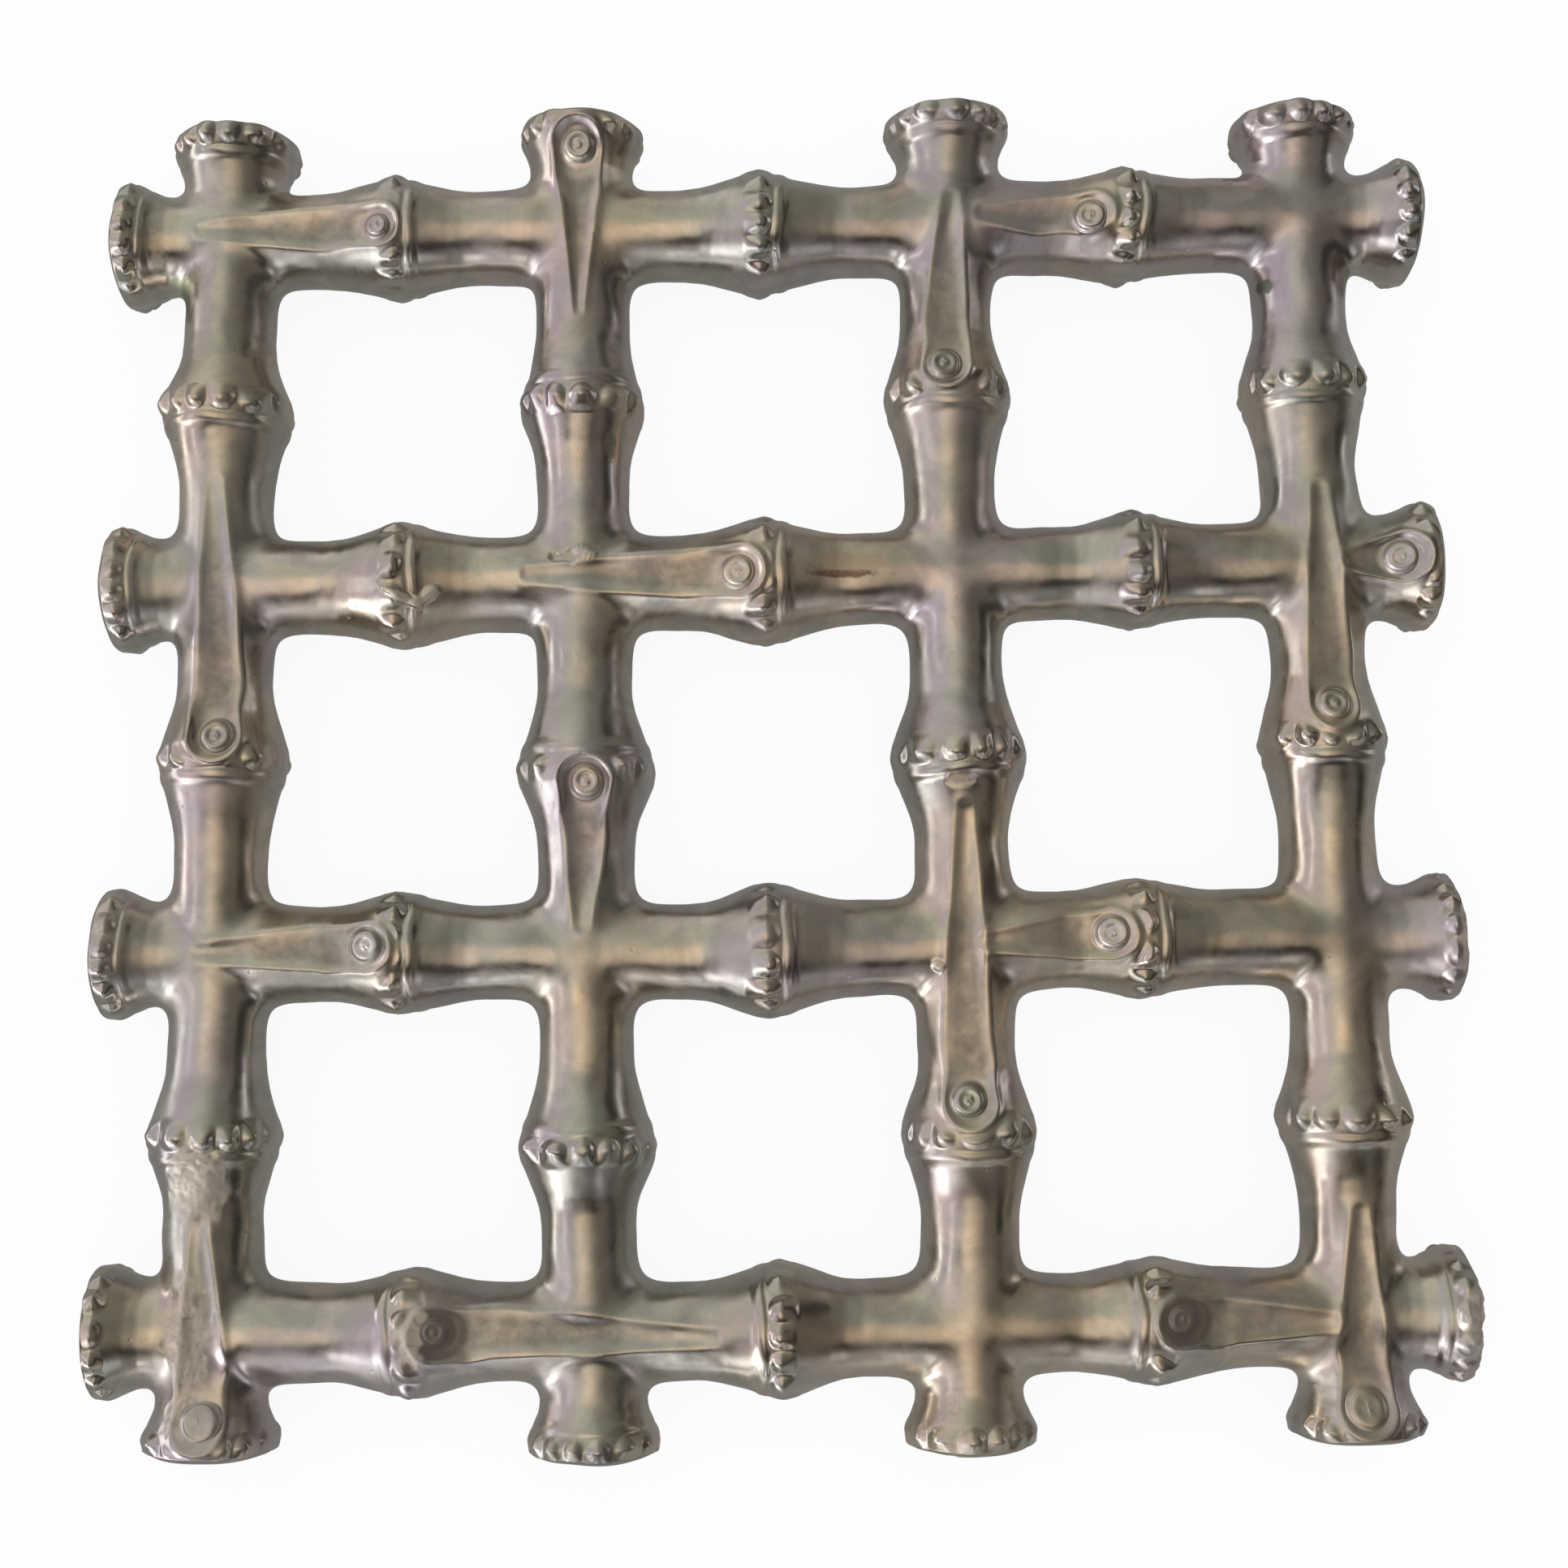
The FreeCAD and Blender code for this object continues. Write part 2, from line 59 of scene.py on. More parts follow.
# a stem grows along its heading: beads first, then the thin raised ring
# nodes are where their crests lie and swell how much wider each is than usual. buds are eye and tail in
# pitches along the heading, the eye's distance from the stem's line and its look. sway is how far the
# stem strays to one side at five places along it, and stretch how much longer its two ends are
stemTable = {
    # from the back to the front
    "cross": (
        {"heading": 1, "nodes": (-50.9, -0.2, 50.2),
         "buds": ((-1.06, -1.57, -1.0, "small"), (0.89, 0.58, -1.1, "plain")),
         "swell": (-0.3, -0.25, -0.7), "sway": (-0.3, 0.3, 0.0, 0.1, -0.3), "stretch": (0.3, 0.5)},
        {"heading": 1, "nodes": (-49.8, -0.2, 50.1),
         "buds": ((-0.08, -0.65, -0.3, "plain"), (1.69, 1.56, 0.0, "plain")),
         "swell": (0.2, 0.0, -0.35), "sway": (0.6, 0.5, 0.2, 0.5, 0.3), "stretch": (-0.1, 0.7)},
        {"heading": 1, "nodes": (-49.8, -0.5, 48.9),
         "buds": ((-1.07, -1.53, 0.8, "plain"), (0.88, 0.54, 0.4, "plain")),
         "swell": (-0.2, 0.25, -0.35), "sway": (0.4, -0.1, -0.8, 0.3, -0.5), "stretch": (0.0, 0.7)},
        {"heading": -1, "nodes": (-48.8, -0.2, 48.5),
         "buds": ((0.89, 0.16, 1.0, "grimy"), (-1.03, -1.43, 1.1, "grimy")),
         "swell": (-0.3, 0.2, -0.5), "sway": (1.0, 0.3, -0.2, 0.1, 0.6), "stretch": (0.0, -0.3)}),
    # from left to right
    "long": (
        {"heading": -1, "nodes": (-49.7, 0.5, 49.5),
         "buds": ((-0.07, -0.78, 1.1, "plain"), (1.70, 1.20, 0.7, "flat")),
         "swell": (0.0, 0.05, 0.3), "sway": (-0.1, -0.3, 0.2, -0.2, 0.8), "stretch": (0.2, -0.1)},
        {"heading": 1, "nodes": (-50.5, -0.5, 50.0),
         "buds": ((1.70, 1.24, 0.3, "slim"), (-0.06, -0.44, 0.9, "plain")),
         "swell": (0.5, 0.6, -0.05), "sway": (0.2, -0.6, -0.6, -0.5, -0.6), "stretch": (0.6, 0.4)},
        {"heading": -1, "nodes": (-50.4, -0.2, 49.8),
         "buds": ((-1.06, -1.56, -0.8, "plain"), (0.91, 0.14, -0.4, "plain")),
         "swell": (0.25, 0.5, 0.0), "sway": (-0.9, 0.1, 0.4, 0.1, 1.3), "stretch": (0.1, 1.0)},
        {"heading": -1, "nodes": (-49.4, 0.9, 50.1),
         "buds": ((-0.11, -0.71, 0.0, "plain"), (1.71, 1.21, -0.4, "flat")),
         "swell": (0.1, -0.15, -0.15), "sway": (-0.5, 0.1, -0.2, -0.3, 0.0), "stretch": (0.1, 0.0)}),
}
swayPlaces = (-88.0, -50.0, 0.0, 50.0, 88.0)
stretchEnds = (79.0, 86.0)
stretchBeside = (9.5, 14.0)  # only the ends stretch, not the sides of the outer stems

nodes = {
    # distance along the heading from the crest, radius
    "outline": ((-11.0, 6.35), (-8.6, 6.55), (-6.8, 6.95), (-4.4, 7.7), (-3.0, 8.15), (-2.2, 8.42),
                (-0.5, 8.55), (1.0, 8.45), (2.3, 8.2), (2.9, 8.05), (3.5, 7.75), (5.4, 7.25),
                (7.6, 6.72), (9.6, 6.42), (11.0, 6.35)),
    "soften": 1.1, "swellReach": 6.0, "detailReach": 6.0, "reach": 14.0,
    "beadFront": 1.25, "beadLength": 4.2, "beadHeight": 0.92, "beadCount": 14, "roundShare": 0.45,
    "beadLengths": (0.8, 1.1), "beadSizes": (0.7, 1.15), "beadSlide": 0.12,
    "notchPlace": 1.4, "notchDepth": 0.07, "notchWidth": 0.4,
    "ringPlace": 2.3, "ringHeight": 0.15, "ringWidth": 0.65,
    # waves of the ring and the notch: how many round the stem, height
    "waves": ((2, 0.2), (3, 0.12), (7, 0.1)),
    # painted shade in the gaps between the beads; the notch is darkened too
    "gapShade": 0.5, "notchDarkening": 0.22,
}
ends = {
    # distance from the tip, radius
    "outline": ((1.4, 8.55), (2.6, 8.6), (3.6, 8.3), (4.6, 7.85), (6.0, 7.2), (7.6, 6.7), (9.6, 6.42),
                (11.5, 6.35)),
    "soften": 1.0,
    "lipRadius": 1.75, "dome": 0.4,
    "beadFront": 4.0, "beadLength": 3.3, "beadHeight": 0.82, "beadCount": 15, "roundShare": 0.5,
    "beadLengths": (0.85, 1.1), "beadSizes": (0.65, 1.2), "beadSlide": 0.1,
    "ringPlace": 4.9, "ringHeight": 0.12, "ringWidth": 0.6,
    "notchPlace": 4.2, "notchDepth": 0.08, "notchWidth": 0.26,
    "waves": ((2, 0.12), (5, 0.08)),
    # painted shade in the gaps between the beads; the notch is darkened too
    "gapShade": 0.6, "notchDarkening": 0.5,
}
beads = {
    "valley": 0.16,  # roundness of the valley between two beads
    "bunching": 0.16,  # how unevenly the beads stand round the stem
    "gap": (0.8, 1.15),  # where the painted shade gathers round a bead, in half widths from its middle
    "gapFront": (-0.06, 0.08),
}
# beads and rings stand full height above and below and are worn down at the sides
worn = {"share": 0.22, "fade": (0.1, 0.7)}
buds = {
    # share of the groove's length, depth, half width
    "groove": ((-0.3, 0.66, 3.1), (0.0, 0.66, 3.1), (0.12, 0.74, 2.8), (0.35, 0.76, 2.35),
               (0.65, 0.55, 1.7), (0.9, 0.26, 1.0), (1.0, 0.08, 0.6), (1.4, 0.08, 0.6)),
    "slim": ((0.12, 0.35, 1.0), (1.0, 0.8, 0.6)),  # share, times the width
    "soften": 1.5, "bowl": 3.0,  # the floor is flat at the eye and round past the bowl
    "behind": 6.0, "reach": 5.6,  # how far a bud reaches behind its eye and to its sides
    "lift": 1.8, "liftLength": 2.5,  # past its tail the floor leaves the metal
    "moatRadius": 2.6, "moatWidth": 0.4, "moatDepth": 0.08,
    "ridge": 0.34, "tailRidge": 0.14, "ridgeWidth": 1.1, "ridgeShare": 0.6, "ridgeSoften": 2.0,
    "edge": 0.6,  # softness of the edges
    "clearance": (4.3, 5.6),  # beads keep off the middle of an eye by this much
    "pinSeat": 7.35,  # highest seat of a pin over the stem's axis
    "flatDepth": 0.6, "seatFade": (2.0, 7.0), "slopeReach": 1.6, "eyeReach": 2.4,
    "follow": (3.5, 8.0),  # from here on a groove follows the surface it runs over
    # painted shade that deepens with the channel and more in the groove, a little darker in the moat; the
    # grimy eyes hold real dirt
    "grimeAndShade": 0.42, "grooveShade": 0.26, "moatDarkening": 0.08, "eyeGrime": 0.75, "fullDepth": 0.9,
}
grid = {
    "topColumns": 96, "bottomColumns": 40,
    "zone": 9.0, "zoneRings": 24,  # crossing middle to the first plain ring
    "fine": 4.4, "coarse": 2.3,  # rings per millimetre
    "fineBack": 8.0, "fineFront": 4.4,  # reach of the fine rings round a crest
    "lipRings": 12, "faceRings": 12, "faceMiddle": 0.03,
    "merge": 0.002,  # points closer than this count as one
}


def smoothTable(points, width, step=0.05):
    # a rounded version of a polyline, as a table for np.interp
    xs, ys = np.array(points, float).T
    places = np.arange(xs[0] - width, xs[-1] + width + step, step)
    kernel = np.hanning(int(width / step) // 2 * 2 + 3)[1:-1]
    half = len(kernel) // 2
    padded = np.pad(np.interp(places, xs, ys), half, mode="edge")
    return places, np.convolve(padded, kernel / kernel.sum(), mode="valid")


nodeTable = smoothTable(nodes["outline"], nodes["soften"])
endTable = smoothTable(ends["outline"], ends["soften"])


def smoothStep(low, high, x):
    t = np.clip((x - low) / (high - low), 0.0, 1.0)
    return t * t * (3.0 - 2.0 * t)


def softMin(a, b, k):
    # the smaller of a and b, rounded where they meet
    return np.minimum(a, b) - np.maximum(1 - np.abs(a - b) / k, 0.0) ** 3 * k / 6.0


def plainRadius(stem, w):
    # radius of the turned stem without beads, w along its heading
    radius = np.full(np.shape(w), trivet["waist"])
    for crest in stem["crests"]:
        radius = radius + np.interp(w - crest, *nodeTable) - trivet["waist"]
    return radius + np.interp(trivet["tip"] - np.abs(w), *endTable) - trivet["waist"]


def drawBeads(shape, swell=0.0):
    # how the beads of one ring differ from the usual bead
    count = shape["beadCount"]
    return {"turn": rng.uniform(0, 1), "length": rng.uniform(*shape["beadLengths"], count),
            "size": rng.uniform(*shape["beadSizes"], count),
            "slide": rng.normal(0, shape["beadSlide"], count),
            "wave": rng.uniform(0, 2 * math.pi, 3), "swell": swell}


stems = []
for axis, (family, rows) in enumerate(stemTable.items()):
    lines = crossings if axis else crossings[::-1]
    for number, (line, row) in enumerate(zip(lines, rows), start=1):
        stem = {"name": "%sStem%d" % (family, number), "solid": "%s_stem_%d" % (family, number),
                "axis": axis, "line": line, **row}
        stem["crests"] = sorted(place * stem["heading"] for place in stem["nodes"])
        stem["eyes"] = [bud[0] * trivet["pitch"] for bud in stem["buds"]]
        stem["crestBeads"] = [drawBeads(nodes, swell) for swell in stem["swell"][::stem["heading"]]]
        stem["endBeads"] = [drawBeads(ends) for _ in range(2)]
        stems.append(stem)


def beadsAround(angle, place, shape, draw):
    # height of a ring of half-sunk beads, and how deep a point lies in the gaps between them
    # place is measured from the round front of the beads towards their tapering backs
    count = shape["beadCount"]
    turn = angle / (2 * math.pi) * count + draw["turn"]
    turn = turn + beads["bunching"] * np.sin(turn * 2 * math.pi / count * 3 + draw["wave"][0])
    number = np.floor(turn).astype(int) % count
    spot = np.abs(turn - np.floor(turn) - 0.5) * 2
    valley = beads["valley"]
    spot = 1 - (np.hypot(1 - spot, valley) - valley) / (math.hypot(1, valley) - valley)
    length = shape["beadLength"] * draw["length"][number]
    share = (place - draw["slide"][number]) / length
    # a round front, then a long slope down into the stem
    front = 1 - np.clip(share / shape["roundShare"], 0, 1)
    slope = 1 - np.clip((share - shape["roundShare"]) / (1 - shape["roundShare"]), 0, 1)
    out = spot ** 2 + front ** 2
    height = shape["beadHeight"] * draw["size"][number] * np.maximum(1 - out, 0.0) * slope
    gap = smoothStep(*beads["gap"], out) * slope ** 2 * smoothStep(*beads["gapFront"], share)
    return height, gap


topAngles = np.linspace(0, math.pi, grid["topColumns"] + 1)[:-1]
bottomAngles = np.linspace(math.pi, 2 * math.pi, grid["bottomColumns"] + 1)[:-1]
columnAngles = np.concatenate([topAngles, bottomAngles])
columnCount = len(columnAngles)
columnRelief = smoothStep(*worn["fade"], np.abs(np.sin(columnAngles)))
columnRelief = worn["share"] + (1 - worn["share"]) * columnRelief


def allColumns(values):
    # one value for each ring, repeated in every column
    return np.repeat(values, columnCount, 1)


def ringRows(start, stop, crests, step=0.02):
    # places of the rings between two zones, closer together round a crest and near the tip
    places = np.arange(start, stop, step)
    density = np.full(places.shape, grid["coarse"])
    for crest in crests:
        density[(places > crest - grid["fineBack"]) & (places < crest + grid["fineFront"])] = grid["fine"]
    density[np.abs(places) > trivet["tip"] - grid["fineBack"]] = grid["fine"]
    total = np.concatenate([[0.0], np.cumsum((density[1:] + density[:-1]) / 2 * step)])
    rings = np.linspace(0, total[-1], int(round(total[-1])) + 1)
    return allColumns(np.interp(rings, total, places)[:, None])


def stretches(stem):
    # places along the heading for the three stretches between crossings and the two ends
    mitre = trivet["waist"] * np.abs(np.cos(columnAngles))
    zone = grid["zone"]
    share = np.linspace(0, 1, grid["zoneRings"], endpoint=False)[:, None]

    def fromCrossing(place, way):
        return place + way * mitre + way * (zone - mitre) * share

    ordered = sorted(place * stem["heading"] for place in crossings)
    for low, high in zip(ordered[:-1], ordered[1:]):
        middle = ringRows(low + zone, high - zone, stem["crests"])
        yield np.concatenate([fromCrossing(low, 1), middle, fromCrossing(high, -1)[::-1]]), 0
    lipStart = trivet["tip"] - ends["dome"] - ends["lipRadius"]
    for side, crossing in ((-1, -ordered[0]), (1, ordered[-1])):
        middle = ringRows(crossing + zone, lipStart, [])
        yield side * np.concatenate([fromCrossing(crossing, 1), middle]), side


def fieldAt(points, crossStem, longStem):
    # below zero inside the metal of two blended stems. Points are measured from the axes' plane
    x, y, z = points.T
    fromCross, fromLong = np.hypot(y - crossStem["line"], z), np.hypot(x - longStem["line"], z)
    a = fromCross - plainRadius(crossStem, x * crossStem["heading"])
    b = fromLong - plainRadius(longStem, y * longStem["heading"])
    spread = z * z / np.maximum(fromCross * fromLong, 1e-6)
    openness = (np.sqrt(2.0 / (1.0 + np.clip(spread, 0, 1))) - 1.0) / (math.sqrt(2.0) - 1.0)
    return softMin(a, b, trivet["topBlend"] + (trivet["sideBlend"] - trivet["topBlend"]) * openness)


def settle(points, crossStem, longStem, rounds=5, tiny=1e-3, longest=1.5):
    # moves points along the field's slope onto the blended surface
    for _ in range(rounds):
        value = fieldAt(points, crossStem, longStem)
        slope = np.stack([(fieldAt(points + step, crossStem, longStem) - value) / tiny
                          for step in np.eye(3) * tiny], 1)
        size = np.maximum((slope ** 2).sum(1), 0.05)
        points = points - slope * np.clip(value / size, -longest, longest)[:, None]
    return points


def inPlan(stem, lengthways, sideways):
    # x and y of something on or beside a stem
    return np.array((lengthways, sideways) if stem["axis"] == 0 else (sideways, lengthways))


def budLines(stem):
    # each bud's eye, the way from eye to tail, and tables of its groove along that way
    for eyeShare, tailShare, side, look in stem["buds"]:
        eye, tail = eyeShare * trivet["pitch"], tailShare * trivet["pitch"]
        length = eye - tail
        way = inPlan(stem, -stem["heading"] * length, -side)
        way /= np.linalg.norm(way)
        shares, depths, halfWidths = np.array(buds["groove"]).T
        if look == "slim":
            halfWidths = halfWidths * np.interp(shares, *buds["slim"])
        runs = np.arange(-buds["behind"], length * 1.3, 0.25)
        top = plainRadius(stem, eye - np.maximum(runs, -buds["eyeReach"]))
        depth = depths[0] * (buds["flatDepth"] if look == "flat" else 1)
        seat = min(plainRadius(stem, eye) - depth, buds["pinSeat"])
        past = length + buds["liftLength"]
        ridge = ((-buds["behind"], buds["ridge"]), (length * buds["ridgeShare"], buds["ridge"]),
                 (length, buds["tailRidge"]), (past, 0.0))
        bud = {"eye": inPlan(stem, eye * stem["heading"], stem["line"] + side), "way": way,
               "length": length, "look": look, "seat": seat,
               "ridge": smoothTable(ridge, buds["ridgeSoften"])}
        reach = buds["slopeReach"]
        bud["slope"] = float(np.diff(np.interp((-reach, reach), runs, top))[0]) / (2 * reach)
        extra = float(plainRadius(stem, eye)) - depths[0] - seat
        extra = extra * (1 - smoothStep(*buds["seatFade"], runs))
        for name, values in (("top", top), ("lift", buds["lift"] * smoothStep(length, past, runs)),
                             ("depth", np.interp(runs / length, shares, depths) + extra),
                             ("halfWidth", np.interp(runs / length, shares, halfWidths))):
            bud[name] = smoothTable(list(zip(runs, values)), buds["soften"])
        yield bud


allBuds = [bud for stem in stems for bud in budLines(stem)]


def carve(points):
    # sinks the eyes and grooves of all buds into the top, with their raised edges
    hollow = np.zeros(len(points))
    for bud in allBuds:
        off = points[:, :2] - bud["eye"]
        q = off @ bud["way"]
        p = off[:, 0] * bud["way"][1] - off[:, 1] * bud["way"][0]
        near = ((q > -buds["behind"]) & (q < bud["length"] + 5) & (np.abs(p) < buds["reach"])
                & (points[:, 2] > trivet["axisHeight"] + 2.0))
        q, p = q[near], p[near]
        z = points[near, 2] - trivet["axisHeight"]
        reach = np.hypot(q, p)
        across = np.where(q < 0, reach, np.abs(p)) / np.interp(q, *bud["halfWidth"])
        flatness = np.exp(-(np.maximum(q, 0) / buds["bowl"]) ** 2)
        rise = across ** 2 * (1 - flatness) + across ** 4 * flatness
        level = np.interp(q, *bud["top"]) - p ** 2 / (2 * trivet["waist"] + 4)
        level = level + (z - level) * smoothStep(*buds["follow"], q) + np.interp(q, *bud["lift"])
        channel = level - np.interp(q, *bud["depth"]) * (1 - rise)
        moat = np.exp(-((reach - buds["moatRadius"]) / buds["moatWidth"]) ** 2)
        channel = channel - buds["moatDepth"] * moat
        edge = np.exp(-(np.maximum(channel - z, 0) / buds["ridgeWidth"]) ** 2)
        raised = z + np.interp(q, *bud["ridge"]) * edge * smoothStep(2.0, 4.0, z)
        points[near, 2] = trivet["axisHeight"] + softMin(raised, channel, buds["edge"])
        depth = np.clip((raised - channel) / buds["fullDepth"], 0, 1)
        # painted shade that deepens with the channel and more in the groove, a little darker in the moat,
        # and real dirt in the grimy eyes
        grimy = buds["eyeGrime"] * (bud["look"] == "grimy") * (1 - smoothStep(2.6, 4.6, reach))
        tint = buds["grimeAndShade"] + buds["grooveShade"] * smoothStep(2.4, 4.5, reach)
        tint = tint * depth ** 0.7 + buds["moatDarkening"] * moat + grimy
        hollow[near] = np.maximum(hollow[near], tint)
    return hollow


def swayAt(places, values):
    # eases from one of the sway places to the next
    low = np.clip(np.searchsorted(swayPlaces, places) - 1, 0, len(swayPlaces) - 2)
    spots, heights = np.array(swayPlaces), np.array(values)
    share = smoothStep(0, 1, (places - spots[low]) / (spots[low + 1] - spots[low]))
    return heights[low] * (1 - share) + heights[low + 1] * share


def stray(points):
    # how far the hand-made lattice strays from a true one at each point, sideways and lengthways
    moves = np.zeros((len(points), 2))
    every = np.arange(len(points))
    for axis in (0, 1):
        group = sorted((stem for stem in stems if stem["axis"] == axis), key=lambda stem: stem["line"])
        own, other = points[:, axis], points[:, 1 - axis]
        sways = np.array([swayAt(own, stem["sway"]) for stem in group])
        place = (other - crossings[0]) / trivet["pitch"]
        spot = np.clip(place, 0, len(group) - 1.001)
        low = spot.astype(int)
        share = spot - low
        moves[:, 1 - axis] += sways[low, every] * (1 - share) + sways[low + 1, every] * share
        nearest = np.clip(np.round(place).astype(int), 0, len(group) - 1)
        stretch = np.array([stem["stretch"] for stem in group])[nearest]
        beside = np.abs(other - np.array(crossings)[nearest])
        reach = smoothStep(*stretchEnds, np.abs(own)) * (1 - smoothStep(*stretchBeside, beside))
        moves[:, axis] += np.sign(own) * np.where(own < 0, stretch[:, 0], stretch[:, 1]) * reach
    return moves


def roughNoise(points, size, seed):
    # lumpy noise between -1 and 1, from a few crossing waves
    draw = np.random.default_rng(seed)
    total = np.zeros(len(points))
    for _ in range(9):
        direction = draw.normal(size=3)
        direction /= np.linalg.norm(direction)
        turns = points @ direction * 2 * math.pi / (size * draw.uniform(0.6, 1.6))
        total += np.sin(turns + draw.uniform(0, 7))
    return np.clip(total / 4.5, -1, 1)


# faults of the casting that the photograph shows: middle, half sizes, height and turn in degrees
faults = {
    "flakes": ((-75.0, -55.0), (4.4, 6.0), 0.45, 0),
    "chips": ((-76.6, -74.5), (3.0, 7.5), 0.5, 0),
    "eyeCrust": ((-77.0, -84.0), (2.6, 3.6), 0.42, 0),
    "eyeGrime": ((-47.4, -74.0), (2.4, 4.6), 0.28, 0),
    "burrA": ((-48.6, 21.6), (2.8, 0.65), 0.5, -24),
    "burrB": ((-45.8, 22.1), (2.4, 0.6), 0.5, 38),
    "pitA": ((-27.2, 27.3), (1.9, 0.8), -0.4, 4),
    "pitB": ((-24.2, 28.0), (1.6, 0.5), 0.25, -18),
    "nick": ((21.1, -27.7), (1.1, 0.6), 0.35, -50),
    "stain": ((24.6, -3.8), (2.0, 0.8), -0.12, 0),
    "seamStreak": ((22.6, -87.0), (2.0, 4.2), 0.16, 0),
    "endChip3": ((90.0, -25.5), (1.6, 5.0), -0.25, 0),
    "endChip4": ((89.4, -76.0), (2.0, 6.0), -0.45, 0),
}


def addFaults(points):
    # how far the faults lift the upper side, and how dull each point has become
    dull, move = np.zeros((2, len(points)))
    for number, (place, size, height, degrees) in enumerate(faults.values()):
        turn = math.radians(degrees)
        off = points[:, :2] - np.array(place)
        x = off[:, 0] * math.cos(turn) + off[:, 1] * math.sin(turn)
        y = off[:, 1] * math.cos(turn) - off[:, 0] * math.sin(turn)
        reach = np.hypot(x / size[0], y / size[1])
        near = (reach < 1.6) & (points[:, 2] > trivet["axisHeight"] - 1)
        spot = points[near]
        cover = 1 - smoothStep(0.72, 1.02, reach[near] + 0.28 * roughNoise(spot, 2.6, 100 + number))
        relief = 1.0
        if min(size) > 1.2:
            # broken plates: steps with crisp edges
            plates = 2.5 * roughNoise(spot, 3.4, 200 + number) + 0.6 * roughNoise(spot, 1.1, 300 + number)
            relief = 0.42 * np.floor(plates) / 2.5 + 0.15 * roughNoise(spot, 1.3, 400 + number)
        move[near] += height * relief * cover
        dull[near] = np.maximum(dull[near], cover)
    return move, dull


# the slight waviness of a hand-finished casting: wavelength, height
waves = {"large": (26.0, 0.13), "middle": (9.0, 0.055), "small": (3.4, 0.006)}
waveDraws = []
for length, height in waves.values():
    directions = rng.normal(size=(10, 3))
    directions /= np.linalg.norm(directions, axis=1)[:, None]
    waveDraws.append((directions * 2 * math.pi / (length * rng.uniform(0.7, 1.4, 10))[:, None],
                      rng.uniform(0, 2 * math.pi, 10), height / math.sqrt(5.0)))


def unevenness(points):
    total = np.zeros(len(points))
    for directions, phases, height in waveDraws:
        for direction, phase in zip(directions, phases):
            total += height * np.sin(points @ direction + phase)
    return total


def eyeKeep(stem, w, angles, radius):
    # 0 where an eye leaves no room for beads, 1 elsewhere
    keep = np.ones(np.shape(w))
    for eye in stem["eyes"]:
        off = np.hypot(w - eye, radius * np.cos(angles))
        keep = keep * np.where(np.sin(angles) > 0, smoothStep(*buds["clearance"], off), 1.0)
    return keep


def ringMarks(place, angles, shape, draw):
    # the thin raised ring and the notch beside it, both a little wavy
    wave = sum(height * np.sin(count * angles + phase)
               for (count, height), phase in zip(shape["waves"], draw["wave"]))
    ring = np.exp(-((place - shape["ringPlace"] - wave) / shape["ringWidth"]) ** 4)
    notch = np.exp(-((place - shape["notchPlace"] - wave) / shape["notchWidth"]) ** 2)
    return shape["ringHeight"] * ring - shape["notchDepth"] * notch, notch


def endStretch(stem, w, side):
    # an end with its round lip, domed face and beads, as places, radii, outward slopes and masks
    lip, dome, tip = ends["lipRadius"], ends["dome"], trivet["tip"]
    radius = plainRadius(stem, w)
    startRadius = radius[-1, 0]
    turns = np.linspace(0, math.pi / 2, grid["lipRings"] + 1)[1:, None]
    faceShare = np.linspace(1, grid["faceMiddle"], grid["faceRings"] + 1)[1:, None]

    def withTip(own, onLip, onFace):
        return np.concatenate([own, allColumns(onLip), allColumns(onFace)])

    absW = withTip(np.abs(w), tip - dome - lip + lip * np.sin(turns), tip - dome * faceShare ** 2)
    radius = withTip(radius, startRadius - lip + lip * np.cos(turns), (startRadius - lip) * faceShare)
    outW = side * withTip(np.zeros(w.shape), np.sin(turns), 0 * faceShare + 1)
    outR = withTip(np.ones(w.shape), np.cos(turns), 0 * faceShare)
    w = side * absW
    angles = np.broadcast_to(columnAngles[None, :], w.shape)
    # length along the outline from the front of the beads, positive towards the middle of the face
    run = np.concatenate([[0.0], np.cumsum(np.hypot(np.diff(absW[:, 0]), np.diff(radius[:, 0])))])
    plain = slice(0, -grid["faceRings"])
    run = run - np.interp(tip - ends["beadFront"], absW[plain, 0], run[plain])
    draw = stem["endBeads"][0 if side < 0 else 1]
    height, gap = beadsAround(angles, allColumns(run[:, None]), ends, draw)
    keep = eyeKeep(stem, w, angles, radius)
    bump = height * keep * columnRelief
    # painted shade in the gaps between the beads
    hollow = ends["gapShade"] * gap * keep * columnRelief
    if side < 0:
        marks, notch = ringMarks(tip - absW, angles, ends, draw)
        onSide = (outR > 0.99) * columnRelief
        bump = bump + marks * onSide
        # darker in the notch
        hollow = np.maximum(hollow, notch * ends["notchDarkening"] * onSide)
    return w, radius, outW, outR, bump, hollow


